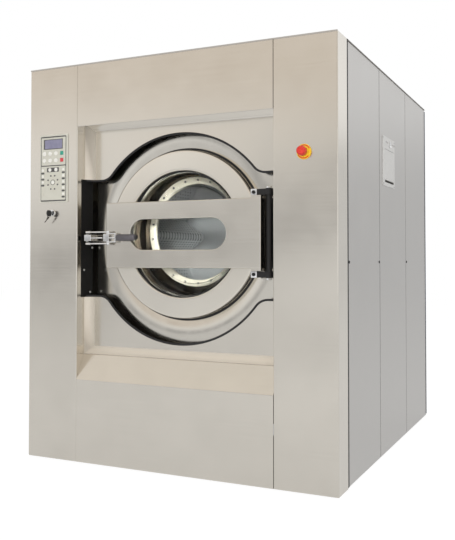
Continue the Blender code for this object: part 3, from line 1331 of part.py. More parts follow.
def build_lifter(index):
    """A lifter: a tapered sheet rib along the drum, open to the drum's wall that it is bolted to."""
    wall = DRUM_RADIUS - DRUM_WALL - CLEARANCE
    half_angle = math.asin(LIFTER_HALF_BASE / wall)
    facet = math.cos(math.pi / TURNED_STEPS)
    base = arc((0, 0), wall * facet, -half_angle, half_angle, LIFTER_STEPS)
    top = wall - LIFTER_HEIGHT
    rise = LIFTER_HALF_TOP / 2
    outline = base + [(top + rise, LIFTER_HALF_TOP), (top, rise), (top, -rise), (top + rise, -LIFTER_HALF_TOP)]
    inner_base, inner_top = LIFTER_HALF_BASE - LIFTER_SHEET, LIFTER_HALF_TOP - LIFTER_SHEET
    inner = [(wall + OVERRUN, -inner_base), (wall + OVERRUN, inner_base), (top + rise, inner_top),
             (top + LIFTER_SHEET, rise), (top + LIFTER_SHEET, -rise), (top + rise, -inner_top)]
    start = DRUM_FRONT_DEPTH + DRUM_WALL + CLEARANCE
    end = DRUM_REAR_DEPTH - DRUM_WALL - LIFTER_END_GAP
    centre = (0, y_at((start + end) / 2), TUB_AXIS_Z)
    turn = math.pi + index * 2 * math.pi / LIFTER_COUNT
    lifter = flat_piece(f"lifter_{index + 1}", [turned_points(outline, turn)], centre, end - start)
    hollow = flat_piece("lifter_hollow", [turned_points(inner, turn)], centre,
                        end - start - 2 * LIFTER_SHEET)
    cut(lifter, hollow)
    return set_origin(finish(lifter, POLISHED), centre)


def turned_points(points, angle):
    """Points of a flat outline, turned about its middle."""
    across, up = math.cos(angle), math.sin(angle)
    return [(x * across - z * up, x * up + z * across) for x, z in points]


def build_shaft():
    """The drum shaft with its flange and hub on the drum's rear, up to the pulley's outer face."""
    start = DRUM_REAR_DEPTH + CLEARANCE
    flange, hub = SHAFT_FLANGE_THICKNESS, SHAFT_FLANGE_THICKNESS + SHAFT_HUB_LENGTH
    end = PULLEY_DEPTH + PULLEY_WIDTH - start
    profile = [(0, end), (SHAFT_RADIUS, end), (SHAFT_RADIUS, hub), (SHAFT_HUB_RADIUS, hub),
               (SHAFT_HUB_RADIUS, 2 * flange), (SHAFT_FLANGE_RADIUS, flange),
               (SHAFT_FLANGE_RADIUS, 0), (0, 0)]
    shaft = turned("drum_shaft", profile, (0, y_at(start), TUB_AXIS_Z), steps=HIDDEN_STEPS,
                   closed=False)
    return finish(shaft, CAST)


def build_drum_pulley():
    """The large belt pulley on the drum shaft, with lightening holes in its web."""
    bore = SHAFT_RADIUS + CLEARANCE
    half, web = PULLEY_WIDTH / 2, PULLEY_WEB / 2
    rim = DRUM_PULLEY_RADIUS - PULLEY_RIM
    profile = [(bore, half), (PULLEY_HUB_RADIUS, half), (PULLEY_HUB_RADIUS, web), (rim, web), (rim, half),
               (DRUM_PULLEY_RADIUS, half), (DRUM_PULLEY_RADIUS, -half), (rim, -half), (rim, -web),
               (PULLEY_HUB_RADIUS, -web), (PULLEY_HUB_RADIUS, -half), (bore, -half)]
    pulley = turned("drum_pulley", profile, (0, y_at(PULLEY_DEPTH), TUB_AXIS_Z), steps=HIDDEN_STEPS)
    for index in range(PULLEY_HOLE_COUNT):
        angle = 2 * math.pi * index / PULLEY_HOLE_COUNT + PULLEY_HOLE_TURN
        x = PULLEY_HOLE_CIRCLE * math.cos(angle)
        z = TUB_AXIS_Z + PULLEY_HOLE_CIRCLE * math.sin(angle)
        cut(pulley, rod("pulley_hole", PULLEY_HOLE_RADIUS, (x, y_at(PULLEY_DEPTH - PULLEY_WEB), z),
                        (x, y_at(PULLEY_DEPTH + PULLEY_WEB), z), SMALL_STEPS))
    return finish(pulley, CAST)


def build_motor():
    """The drive motor, hung by its plate from the rear cradle foot, with cooling ribs and end bells."""
    rear = MOTOR_FRONT_DEPTH + MOTOR_LENGTH
    bell = MOTOR_BELL_LENGTH
    body_length = MOTOR_LENGTH - 2 * bell
    bore = MOTOR_SHAFT_RADIUS + CLEARANCE
    sink = MOTOR_LENGTH + MOTOR_BOSS_LENGTH - MOTOR_SHAFT_SINK
    profile = [(0, sink), (bore, sink), (bore, MOTOR_LENGTH + MOTOR_BOSS_LENGTH),
               (MOTOR_BOSS_RADIUS, MOTOR_LENGTH + MOTOR_BOSS_LENGTH), (MOTOR_BOSS_RADIUS, MOTOR_LENGTH),
               (MOTOR_BELL_RADIUS, MOTOR_LENGTH), (MOTOR_RADIUS, MOTOR_LENGTH - bell), (MOTOR_RADIUS, bell),
               (MOTOR_BELL_RADIUS, 0), (0, 0)]
    motor = turned("motor", profile, (MOTOR_X, y_at(MOTOR_FRONT_DEPTH), MOTOR_Z), steps=ROUND_STEPS,
                   closed=False)
    rib_start, rib_end = y_at(MOTOR_FRONT_DEPTH + bell), y_at(rear - bell)
    for index in range(MOTOR_RIB_COUNT):
        angle = math.pi * (index + 0.5) / MOTOR_RIB_COUNT + math.pi
        outer = MOTOR_RADIUS + MOTOR_RIB_HEIGHT
        rib = box("motor_rib", (MOTOR_RADIUS / 2, rib_start, -MOTOR_RIB_THICKNESS / 2),
                  (outer, rib_end, MOTOR_RIB_THICKNESS / 2))
        set_origin(rib, (0, (rib_start + rib_end) / 2, 0))
        rib.rotation_euler = (0, -angle, 0)
        rib.location = (MOTOR_X, (rib_start + rib_end) / 2, MOTOR_Z)
        weld(motor, rib)
    middle = y_at(CRADLE_REAR_DEPTH)
    top = CRADLE_BOTTOM - CLEARANCE
    half, reach = MOTOR_PLATE_HALF_WIDTH, MOTOR_PLATE_LENGTH / 2
    plate = box("motor_plate", (MOTOR_X - half, middle - reach, top - MOTOR_PLATE),
                (MOTOR_X + half, middle + reach, top))
    half, reach = MOTOR_RADIUS / 2, MOTOR_NECK_LENGTH / 2
    neck = box("motor_neck", (MOTOR_X - half, middle - reach, MOTOR_Z),
               (MOTOR_X + half, middle + reach, top - MOTOR_PLATE / 2))
    weld(motor, neck, plate)
    return finish(motor, PAINT)


def build_motor_pulley():
    """The small pulley with the motor's shaft, one piece as the shaft is pressed in."""
    half = PULLEY_WIDTH / 2
    boss_end = MOTOR_FRONT_DEPTH + MOTOR_LENGTH + MOTOR_BOSS_LENGTH
    start = boss_end - MOTOR_SHAFT_SINK + CLEARANCE - PULLEY_DEPTH
    profile = [(0, half), (MOTOR_PULLEY_RADIUS, half), (MOTOR_PULLEY_RADIUS, -half),
               (MOTOR_SHAFT_RADIUS, -half), (MOTOR_SHAFT_RADIUS, start), (0, start)]
    pulley = turned("motor_pulley", profile, (MOTOR_X, y_at(PULLEY_DEPTH), MOTOR_Z),
                    steps=ROUND_STEPS, closed=False)
    return finish(pulley, CAST)


def belt_loop(grow):
    """A closed loop round both pulleys, whose facets clear the rims by a given distance."""
    large, small = DRUM_PULLEY_RADIUS + grow, MOTOR_PULLEY_RADIUS + grow
    span = math.hypot(MOTOR_X, TUB_AXIS_Z - MOTOR_Z)
    line = math.atan2(MOTOR_Z - TUB_AXIS_Z, MOTOR_X)
    lean = math.acos((large - small) / span)
    large_wrap, small_wrap = 2 * (math.pi - lean), 2 * lean
    large /= math.cos(large_wrap / BELT_STEPS / 2)
    small /= math.cos(small_wrap / SMALL_BELT_STEPS / 2)
    loop = arc((0, TUB_AXIS_Z), large, line + lean, line + lean + large_wrap, BELT_STEPS)
    loop += arc((MOTOR_X, MOTOR_Z), small, line - lean, line - lean + small_wrap, SMALL_BELT_STEPS)
    return loop


def build_belt():
    """The drive belt, still, round both pulleys."""
    outer = belt_loop(CLEARANCE + BELT_THICKNESS)
    inner = belt_loop(CLEARANCE)
    belt = flat_piece("drive_belt", [outer, inner], (0, y_at(PULLEY_DEPTH), 0), BELT_WIDTH)
    return finish(belt, RUBBER)


def main():
    clear_scene()
    for name in ("washer_extractor", "cutters"):
        collection = bpy.data.collections.get(name) or bpy.data.collections.new(name)
        if name not in bpy.context.scene.collection.children:
            bpy.context.scene.collection.children.link(collection)
    build_base_frame()
    build_column("left_column", -1)
    build_column("right_column", 1)
    build_centre_panels()
    build_recess_panel("upper_recess_panel", SLOT_TOP)
    build_recess_panel("lower_recess_panel", SLOT_BOTTOM)
    build_edge_trim("upper_edge_trim", SLOT_TOP)
    build_edge_trim("lower_edge_trim", SLOT_BOTTOM)
    build_side_panels()
    build_covers()
    build_rear_fittings()
    build_control_housing()
    build_keys()
    build_lock()
    build_stop()
    build_hatch_movers()

    tub_frame = frame_at("tub_frame", (0, y_at(TUB_REAR_DEPTH / 2), TUB_AXIS_Z))
    drum_frame = frame_at("drum_frame", (0, y_at(DRUM_REAR_DEPTH), TUB_AXIS_Z), tub_frame)
    motor_frame = frame_at("motor_frame", (MOTOR_X, y_at(PULLEY_DEPTH), MOTOR_Z), tub_frame)
    door_frame = frame_at("door_frame", (HINGE_X, y_at(HINGE_DEPTH), DOOR_AXIS_Z), tub_frame)
    lever_frame = frame_at("lever_frame", (CLAMP_X, y_at(CLAMP_DEPTH), CLAMP_Z), door_frame)

    tub = [build_tub_shell(), build_tub_front(), build_gasket(), build_bearing_housing(),
           build_hinge_bracket(), build_hinge_pin(), build_motor(), build_belt(), *build_springs()]
    door = [build_door_ring(), build_door_glass(), build_crossbar(), *build_hinge_arms()]
    for piece in tub:
        attach(piece, tub_frame)
    for piece in build_drum():
        attach(piece, drum_frame)
    for piece in door:
        attach(piece, door_frame)
    attach(build_motor_pulley(), motor_frame)
    attach(build_clamp_lever(), lever_frame)
    attach(build_clamp_link(), lever_frame)


main()
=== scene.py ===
"""Looks of a front-loading washer extractor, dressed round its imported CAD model.

Metres, +Z up, the door side faces -Y. Depths are measured back from the cabinet's front plane.
"""

import math

import bmesh
import bpy
from mathutils import Matrix, Vector


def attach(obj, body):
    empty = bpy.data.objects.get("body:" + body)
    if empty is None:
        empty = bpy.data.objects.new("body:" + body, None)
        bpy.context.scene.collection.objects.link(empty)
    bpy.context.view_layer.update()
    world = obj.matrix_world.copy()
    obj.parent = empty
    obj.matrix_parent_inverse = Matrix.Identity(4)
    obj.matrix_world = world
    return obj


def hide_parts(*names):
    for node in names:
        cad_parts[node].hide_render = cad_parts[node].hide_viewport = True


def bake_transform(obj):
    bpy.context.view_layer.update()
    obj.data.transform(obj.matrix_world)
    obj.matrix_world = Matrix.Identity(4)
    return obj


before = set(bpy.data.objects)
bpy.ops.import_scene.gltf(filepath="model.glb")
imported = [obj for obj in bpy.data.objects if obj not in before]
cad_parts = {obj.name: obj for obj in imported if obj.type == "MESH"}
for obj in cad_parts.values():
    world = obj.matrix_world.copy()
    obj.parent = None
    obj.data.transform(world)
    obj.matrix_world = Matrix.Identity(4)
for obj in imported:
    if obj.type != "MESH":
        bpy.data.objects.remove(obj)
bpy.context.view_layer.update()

# Sizes shared with the part's source
FRONT_Y = -0.934
HEIGHT = 1.90
WIDTH = 1.58
CABINET_DEPTH = 1.838
MODULE_DEPTH = 0.128
MODULE_GAP = 0.007
SEAM_X = 0.505
SEAM_GAP = 0.0003
SHEET = 0.002
FLOOR_GAP = 0.002
TOP_PANEL_LOW = 1.598
TOP_PANEL_HIGH_FOLD = 1.620
LOWER_FOLD_Z = 0.393
LEDGE_Z = 0.507
FOLD_DEPTH = 0.060
RECESS_DEPTH = 0.100
RECESS_BAND = 0.036
CUTOUT_RADIUS = 0.4925
CUTOUT_Z = 1.058
SLOT_TOP = 1.350
SLOT_BOTTOM = 0.780
CUTOUT_FILLET = 0.070
SIDE_X = 0.784
DOOR_Z = 1.080
TUB_Z = 1.100
HATCH_FACE_X = 0.787


def y_at(depth):
    """Y of a depth measured back from the cabinet's front plane."""
    return FRONT_Y + depth


def at(place):
    """The point of a place given as (x, depth, z)."""
    return Vector((place[0], y_at(place[1]), place[2]))


# Materials

def linear(colour):
    """An sRGB hex value as linear red, green, blue and alpha."""
    channels = [int(colour[i:i + 2], 16) / 255 for i in (1, 3, 5)]
    return [c / 12.92 if c <= 0.04045 else ((c + 0.055) / 1.055) ** 2.4 for c in channels] + [1.0]


def add_node(tree, kind, inputs=None, **settings):
    """Add a node with its settings; each of its inputs is linked to a socket or holds a value."""
    node = tree.nodes.new(kind)
    for name, value in settings.items():
        setattr(node, name, value)
    for name, value in (inputs or {}).items():
        if isinstance(value, bpy.types.NodeSocket):
            tree.links.new(value, node.inputs[name])
        else:
            node.inputs[name].default_value = value
    return node


def new_material(name, colour, roughness, metallic=0.0, sockets=None):
    """A material with plain values on its shader, its node tree and the shader."""
    material = bpy.data.materials.new(name)
    material.use_nodes = True
    shader = material.node_tree.nodes["Principled BSDF"]
    plain = {"Base Color": linear(colour), "Roughness": roughness, "Metallic": metallic, **(sockets or {})}
    for socket, value in plain.items():
        shader.inputs[socket].default_value = value
    return material, material.node_tree, shader


def surface_noise(tree, scales, detail=3.0, roughness=0.55):
    """Noise on object coordinates, in cells for each metre: one scale, or one along each axis."""
    scales = scales if isinstance(scales, tuple) else (scales, scales, scales)
    place = add_node(tree, "ShaderNodeTexCoord")
    mapped = add_node(tree, "ShaderNodeMapping", {"Scale": scales, "Vector": place.outputs["Object"]})
    noise = add_node(tree, "ShaderNodeTexNoise", {"Scale": 1.0, "Detail": detail, "Roughness": roughness,
                     "Vector": mapped.outputs["Vector"]})
    return noise.outputs["Fac"]


def blended(tree, first, share, second):
    """One pattern at a share, laid over another at the rest."""
    part = add_node(tree, "ShaderNodeMath", {1: share, 0: first}, operation="MULTIPLY")
    return add_node(tree, "ShaderNodeMath", {1: 1 - share, 0: second, 2: part.outputs[0]},
                    operation="MULTIPLY_ADD").outputs[0]


def dress(tree, shader, pattern, colours=(), bump=(), span=(0.3, 0.7), **ranges):
    """Let a 0 to 1 pattern move the shader between two colours, and its sockets, named in small
    letters, between two values over a span of the pattern. A bump is its depth in metres and its strength.
    """
    if colours:
        mixed = add_node(tree, "ShaderNodeMix", {6: linear(colours[0]), 7: linear(colours[1]),
                         0: pattern}, data_type="RGBA")
        tree.links.new(mixed.outputs[2], shader.inputs["Base Color"])
    for socket, (low, high) in ranges.items():
        ranged = add_node(tree, "ShaderNodeMapRange", {
            "From Min": span[0], "From Max": span[1], "To Min": low, "To Max": high, "Value": pattern})
        tree.links.new(ranged.outputs["Result"], shader.inputs[socket.capitalize()])
    if bump:
        raised = add_node(tree, "ShaderNodeBump", {"Distance": bump[0], "Strength": bump[1],
                          "Height": pattern})
        tree.links.new(raised.outputs["Normal"], shader.inputs["Normal"])


def brushed_stainless(name, dark, light, grain, rough, metallic=1.0):
    """Belt-ground 304 stainless sheet: fine straight scratches, a soft sheen across them, faint clouds.

    The scratches are 0.1 to 0.4 mm wide on the real sheet and are drawn 2 mm wide so that they show.
    grain gives their count for each metre along X, Y and Z.
    """
    material, tree, shader = new_material(name, light, sum(rough) / 2, metallic)
    scratches = surface_noise(tree, grain, 2.0, 0.7)
    both = blended(tree, scratches, 0.35, surface_noise(tree, 5.0, 2.0))
    dress(tree, shader, both, (dark, light), roughness=rough)
    dress(tree, shader, scratches, bump=(0.00004, 0.22))
    return material


def turned_stainless(name, dark, light, centre_z, rough):
    """Stainless turned on a lathe and wiped satin: fine rings round an axis along Y, drawn 2 mm wide."""
    material, tree, shader = new_material(name, light, sum(rough) / 2, 1.0, {"Anisotropic": 0.6})
    place = add_node(tree, "ShaderNodeTexCoord")
    from_axis = add_node(tree, "ShaderNodeVectorMath", {1: (0.0, 0.0, centre_z),
                         0: place.outputs["Object"]}, operation="SUBTRACT")
    flat = add_node(tree, "ShaderNodeVectorMath", {1: (1.0, 0.0, 1.0), 0: from_axis.outputs[0]},
                    operation="MULTIPLY")
    radius = add_node(tree, "ShaderNodeVectorMath", {0: flat.outputs[0]}, operation="LENGTH")
    rings = add_node(tree, "ShaderNodeTexNoise", {"Scale": 450.0, "Detail": 1.0,
                     "W": radius.outputs["Value"]}, noise_dimensions="1D")
    both = blended(tree, rings.outputs["Fac"], 0.3, surface_noise(tree, 4.0, 2.0))
    dress(tree, shader, both, (dark, light), roughness=rough)
    around = add_node(tree, "ShaderNodeTangent", direction_type="RADIAL", axis="Y")
    tree.links.new(around.outputs["Tangent"], shader.inputs["Tangent"])
    return material


def mottled(name, colours, rough, clouds, metallic=0.0, bump=(), skin=(), **sockets):
    """A finish whose colour and roughness drift with one noise, given by its scale and detail, which
    may be a bump as well. skin is a finer relief: its scale, detail, depth and strength.
    """
    material, tree, shader = new_material(name, colours[-1], sum(rough) / 2, metallic, sockets)
    drift = surface_noise(tree, *clouds)
    dress(tree, shader, drift, colours if len(colours) > 1 else (), bump, roughness=rough)
    if skin:
        dress(tree, shader, surface_noise(tree, *skin[:2]), bump=skin[2:])
    return material


def polished_stainless(name, dark, light, rough):
    """Mechanically polished stainless: nearly mirror bright, with faint wipe marks and clouds."""
    return mottled(name, (dark, light), rough, ((14.0, 14.0, 5.0), 4.0), 1.0)


def plated(name, colour, roughness):
    """Chrome, nickel or zinc plate over steel: bright, with slight haze where it is handled."""
    return mottled(name, (colour,), (roughness, roughness + 0.14), (60.0, 2.0), 1.0)


def enamelled(name, dark, light, roughness, orange_peel):
    """Stoved enamel on steel: even colour, the slight orange peel of sprayed paint."""
    return mottled(name, (dark, light), (roughness - 0.06, roughness + 0.08), (18.0, 3.0),
                   skin=(450.0, 1.0, orange_peel, 0.5))


def moulded(name, dark, light, roughness, texture):
    """Injection-moulded ABS: a fine spark-eroded skin, drawn at 1 mm grains, and a soft sheen."""
    return mottled(name, (dark, light), (roughness - 0.05, roughness + 0.08), (40.0, 2.0),
                   skin=(900.0, 2.0, texture, 0.4), IOR=1.53)


def tempered_glass(name):
    """Pressed and tempered borosilicate bowl glass: clear, wet-looking gloss."""
    material, tree, shader = new_material(name, "#FBFCFB", 0.02, 0.0, {"IOR": 1.47, "Transmission Weight": 1.0})
    dress(tree, shader, surface_noise(tree, 9.0, 1.0), bump=(0.002, 0.12))
    clear = add_node(tree, "ShaderNodeBsdfTransparent", {"Color": linear("#F4F6F5")})
    path = add_node(tree, "ShaderNodeLightPath")
    mixed = add_node(tree, "ShaderNodeMixShader", 
                     {0: path.outputs["Is Shadow Ray"], 1: shader.outputs[0], 2: clear.outputs[0]})
    tree.links.new(mixed.outputs[0], tree.nodes["Material Output"].inputs["Surface"])
    return material


# Scratches run level on the front and upright on the sides.
FRONT_GRAIN, SIDE_GRAIN = (3.0, 400.0, 420.0), (400.0, 400.0, 3.0)
FRONT_STEEL = brushed_stainless("brushed_stainless_front", "#D1CCC3", "#E6E1D8", FRONT_GRAIN, (0.16, 0.22))
# The ledge copy is lighter and half metallic: painted light, a lit copy of the front steel for the recess's
# upward ledge and sideways faces.
LEDGE_STEEL = brushed_stainless("satin_stainless_ledge_painted_light", "#D6CDBF", "#E4DCCF", FRONT_GRAIN, (0.40, 0.50), 0.45)
SIDE_STEEL = brushed_stainless("brushed_stainless_side", "#BEBCB9", "#D0CECB", SIDE_GRAIN, (0.31, 0.39))
HATCH_STEEL = brushed_stainless("satin_stainless_hatch", "#D3D2CF", "#E2E1DF", SIDE_GRAIN, (0.40, 0.50), 0.45)
DOOR_STEEL = turned_stainless("turned_stainless_ring", "#DFDAD0", "#EEE9DF", DOOR_Z, (0.18, 0.27))
POLISHED = polished_stainless("polished_stainless_dish", "#CDC9C0", "#E0DCD4", (0.14, 0.22))
DRUM_STEEL = polished_stainless("polished_stainless_drum", "#A9ABAA", "#CBCCCA", (0.16, 0.30))
RING_STEEL = enamelled("passivated_ring_cream", "#E4DDC9", "#F0E9D7", 0.42, 0.0)
TUB_STEEL = brushed_stainless("pickled_stainless_tub", "#5E5D5B", "#757370", (60.0, 60.0, 60.0), (0.45, 0.60))
EDGE_BLUE = enamelled("blue_black_edge_strip", "#343A49", "#42495A", 0.5, 0.0)
# Nearly black, darker than the black enamel: the plate's own black and painted shade deep in the slot beside
# the cut-out.
PLATE_BLACK = enamelled("black_plate_and_painted_shade", "#060606", "#0B0B0C", 0.8, 0.0)
NICKEL = plated("tarnished_nickel", "#5F5B57", 0.3)
CHROME = plated("chrome_plate", "#E8E8E8", 0.06)
ZINC = plated("zinc_plated_screws", "#C9CBCB", 0.24)
BLACK_ENAMEL = enamelled("black_stoved_enamel", "#0E0E0F", "#18181A", 0.42, 0.00003)
MACHINE_ENAMEL = enamelled("grey_machine_enamel", "#7F8589", "#92989B", 0.45, 0.00006)
# Grey cast iron, skimmed on the lathe and oiled: dark grey, grainy, half dull.
CAST_IRON = mottled("machined_cast_iron", ("#4A4C4E", "#7A7C7E"), (0.38, 0.66), (260.0, 4.0), 0.85,
                    (0.0003, 0.4))
# Moulded EPDM rubber: dull black, greyed by bloom and dust, slightly uneven.
RUBBER = mottled("epdm_rubber", ("#171718", "#2E2E30"), (0.55, 0.85), (30.0, 4.0), 0.0, (0.0002, 0.3), IOR=1.52)
GLASS = tempered_glass("tempered_bowl_glass")
FOIL = moulded("matt_polyester_foil", "#CAC8BB", "#D4D2C6", 0.5, 0.00003)
FOIL_DARK = moulded("dark_polyester_print", "#4B4A49", "#5E5D5B", 0.5, 0.00002)
DISPLAY = moulded("violet_grey_display", "#77768E", "#9593AB", 0.16, 0.0)
PALE_KEY = moulded("pale_key_caps", "#CDCABD", "#D8D5C9", 0.45, 0.00002)
WHITE_KEY = moulded("white_key_caps", "#E7E5DE", "#F1EFE9", 0.42, 0.00002)
GREEN_KEY = moulded("green_key_cap", "#2F947F", "#3FA690", 0.42, 0.00002)
RED_KEY = moulded("red_key_cap", "#CC3D43", "#DD5358", 0.42, 0.00002)
STOP_RED = moulded("red_polyamide_button", "#CF2A20", "#DC392C", 0.28, 0.00001)
STOP_YELLOW = moulded("yellow_polyamide_disc", "#E6B81F", "#F0C631", 0.34, 0.00002)
BLACK_PLASTIC = moulded("black_glass_filled_nylon", "#151516", "#222224", 0.46, 0.00005)
GRIP = moulded("grey_knurled_grip", "#3C3A3D", "#5A575B", 0.42, 0.00004)
# Turned brass: warm yellow, fine lathe rings along the fittings, dulled by handling.
BRASS = mottled("turned_brass", ("#8F7440", "#D0B36A"), (0.2, 0.45), ((35.0, 500.0, 35.0), 3.0), 1.0)

NODE_FINISHES = [
    (FRONT_STEEL, "left_column right_column top_front_panel lower_front_panel upper_recess_panel "
                  "lower_recess_panel crossbar"),
    (SIDE_STEEL, "left_side_panel right_side_panel_front right_side_panel_middle right_side_panel_rear "
                 "top_cover rear_cover"),
    (RUBBER, "upper_edge_trim lower_edge_trim door_gasket drive_belt"),
    (BLACK_ENAMEL, "base_frame hinge_bracket upper_hinge_arm lower_hinge_arm"),
    (BLACK_PLASTIC, "drain_outlet cable_gland switch_key"),
    (CHROME, "key_lock_bezel hatch_knob hinge_pin clamp_lever clamp_link"),
    (MACHINE_ENAMEL, "motor spring_front_left spring_front_right spring_rear_left spring_rear_right"),
    (CAST_IRON, "bearing_housing drum_shaft drum_pulley motor_pulley"),
    (DRUM_STEEL, "drum_shell lifter_1 lifter_2 lifter_3"), (RING_STEEL, "drum_front_ring"),
    (POLISHED, "tub_front"), (TUB_STEEL, "tub_shell"), (DOOR_STEEL, "door_ring"), (GLASS, "door_glass"),
    (FOIL, "control_housing"), (GREEN_KEY, "start_key"), (RED_KEY, "stop_key"), (HATCH_STEEL, "hatch_flap"),
    (WHITE_KEY, "program_key_1 program_key_2 program_key_3 program_key_4 program_key_5 program_key_6"),
    (STOP_YELLOW, "stop_switch_base"), (STOP_RED, "stop_button"), (BRASS, "water_inlets")]
for finish, node_names in NODE_FINISHES:
    for node_name in node_names.split():
        for finish_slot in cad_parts[node_name].material_slots:
            finish_slot.material = finish


# Making pieces

def linked(name, data):
    """A new object in the scene."""
    obj = bpy.data.objects.new(name, data)
    bpy.context.scene.collection.objects.link(obj)
    return obj


def add_piece(name, mesh, finish, body, slot, replaced=()):
    """Link a finished mesh as a piece that rides on a body, in place of the nodes it replaces."""
    mesh.name = name
    obj = linked(name, mesh)
    if finish is not None:
        mesh.materials.clear()
        mesh.materials.append(finish)
    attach(obj, body)
    if replaced:
        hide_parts(*replaced)
    return obj


def second_finish(mesh, finish, chosen):
    """Give the faces that are chosen another finish."""
    mesh.materials.append(finish)
    for face in mesh.polygons:
        face.material_index = int(chosen(face))


def plain_mesh(work):
    """A bmesh as a mesh, as it is."""
    mesh = bpy.data.meshes.new("made")
    work.to_mesh(mesh)
    work.free()
    return mesh


def evaluated_mesh(obj):
    """The mesh that an object shows, which then goes."""
    bpy.context.view_layer.update()
    made = bpy.data.meshes.new_from_object(obj.evaluated_get(bpy.context.evaluated_depsgraph_get()))
    bpy.data.objects.remove(obj, do_unlink=True)
    return made


def with_modifiers(mesh, *steps):
    """The mesh after modifiers, each given as its kind and its settings."""
    obj = linked("shaping", mesh)
    for kind, settings in steps:
        added = obj.modifiers.new(kind, kind)
        for key, value in settings.items():
            setattr(added, key, value)
    return evaluated_mesh(obj)


def smoothed(mesh, degrees=35):
    """Smooth shading with sharp corners, in which flat faces keep their normals beside rounded edges."""
    mesh.shade_smooth()
    mesh.set_sharp_from_angle(angle=math.radians(degrees))
    return with_modifiers(mesh, ("WEIGHTED_NORMAL", {"keep_sharp": True, "weight": 90}))


def to_mesh(work, degrees=35):
    """A bmesh as a mesh with its normals outwards."""
    bmesh.ops.remove_doubles(work, verts=work.verts, dist=0.00001)
    bmesh.ops.recalc_face_normals(work, faces=work.faces)
    return smoothed(plain_mesh(work), degrees)


def bevelled(mesh, width, segments=2, degrees=30):
    """The mesh with its sharp edges rounded, and no others."""
    return smoothed(with_modifiers(mesh, ("BEVEL", {
        "width": width, "segments": segments, "limit_method": "ANGLE",
        "angle_limit": math.radians(degrees)})))


def thickened(mesh, sheet):
    """A surface as sheet of even thickness behind its front."""
    return with_modifiers(mesh, ("SOLIDIFY", {"thickness": sheet, "offset": -1, "use_even_offset": True}))


def facing_front(work):
    """Turn an open surface so that its foremost face looks to the door side."""
    bmesh.ops.recalc_face_normals(work, faces=work.faces)
    foremost = min(work.faces, key=lambda face: face.calc_center_median().y)
    if foremost.normal.y > 0:
        bmesh.ops.reverse_faces(work, faces=work.faces)
    return plain_mesh(work)


def cut_away(mesh, *cutters):
    """The mesh with other meshes cut out of it."""
    helpers = [linked("cutter", cutter) for cutter in cutters]
    made = with_modifiers(mesh, *[("BOOLEAN", {"object": helper, "operation": "DIFFERENCE", "solver": "EXACT"})
                                  for helper in helpers])
    for helper in helpers:
        bpy.data.objects.remove(helper, do_unlink=True)
    return smoothed(made)


def joined(*meshes):
    """Several meshes as one."""
    work = bmesh.new()
    for mesh in meshes:
        work.from_mesh(mesh)
    return plain_mesh(work)


def moved(mesh, matrix):
    """The mesh itself, transformed."""
    mesh.transform(matrix)
    return mesh


AXES = {"X": Matrix.Rotation(math.pi / 2, 4, "Y"), "Y": Matrix.Rotation(-math.pi / 2, 4, "X"),
        "Z": Matrix.Identity(4)}


def lathe(profile, centre, steps, axis="Y"):
    """Turn a closed outline of (radius, height) points round an axis through an (x, depth, z) centre.

    Edges that lie on the axis are left out.
    """
    work = bmesh.new()
    points = [work.verts.new((radius, 0, height)) for radius, height in profile]
    edges = [work.edges.new(pair) for pair in zip(points, points[1:] + points[:1])
             if pair[0].co.x + pair[1].co.x > 0]
    bmesh.ops.spin(work, geom=points + edges, axis=(0, 0, 1), cent=(0, 0, 0), steps=steps,
                   angle=2 * math.pi, use_merge=True)
    return moved(to_mesh(work), Matrix.Translation(at(centre)) @ AXES[axis])


def block_work(xs, depths, zs):
    """A bmesh of a block between two X, two depths and two Z."""
    low, high = (Vector(corner) for corner in zip(*map(sorted, (xs, map(y_at, depths), zs))))
    work = bmesh.new()
    bmesh.ops.create_cube(work, size=1)
    bmesh.ops.transform(work, verts=work.verts,
                        matrix=Matrix.Translation((low + high) / 2) @ Matrix.Diagonal((*(high - low), 1)))
    return work


def box(xs, depths, zs, edge=0.0, segments=2):
    """A block between two X, two depths and two Z, its edges rounded where a radius is given."""
    block = to_mesh(block_work(xs, depths, zs))
    return bevelled(block, edge, segments) if edge else block


def verts_of(geometry):
    """The vertices among what a bmesh operator returned."""
    return [part for part in geometry if isinstance(part, bmesh.types.BMVert)]


def prism(outline, start, end, facing="Y"):
    """A flat outline, (x, z) facing Y, (depth, z) facing X or (x, depth) facing Z, between two levels."""
    work = bmesh.new()
    spots = {"Y": lambda a, b: (a, start, b), "X": lambda a, b: (start, a, b), "Z": lambda a, b: (a, b, start)}
    face = work.faces.new([work.verts.new(at(spots[facing](a, b))) for a, b in outline])
    away = {"Y": (0, end - start, 0), "X": (end - start, 0, 0), "Z": (0, 0, end - start)}
    grown_part = bmesh.ops.extrude_face_region(work, geom=[face])["geom"]
    bmesh.ops.translate(work, verts=verts_of(grown_part), vec=away[facing])
    return to_mesh(work)


def rod(radius, start, end, steps=24):
    """A plain cylinder between two (x, depth, z) places."""
    start, end = at(start), at(end)
    span = end - start
    work = bmesh.new()
    bmesh.ops.create_cone(work, cap_ends=True, segments=steps, radius1=radius, radius2=radius,
                          depth=span.length)
    turn = span.to_track_quat("Z", "Y").to_matrix().to_4x4()
    bmesh.ops.transform(work, verts=work.verts, matrix=Matrix.Translation((start + end) / 2) @ turn)
    return to_mesh(work)


def peg(radius, x, z, depths, steps=24):
    """A plain cylinder between two depths."""
    return rod(radius, (x, depths[0], z), (x, depths[1], z), steps)


def tube(places, radius, sides, cyclic=False):
    """A round bead along (x, depth, z) places."""
    curve = bpy.data.curves.new("bead", "CURVE")
    curve.dimensions = "3D"
    curve.bevel_depth = radius
    curve.bevel_resolution = max(sides // 4 - 1, 0)
    curve.use_fill_caps = True
    spline = curve.splines.new("POLY")
    spline.points.add(len(places) - 1)
    for spot, place in zip(spline.points, places):
        spot.co = (*at(place), 1)
    spline.use_cyclic_u = cyclic
    work = bmesh.new()
    work.from_mesh(evaluated_mesh(linked("bead", curve)))
    return to_mesh(work)


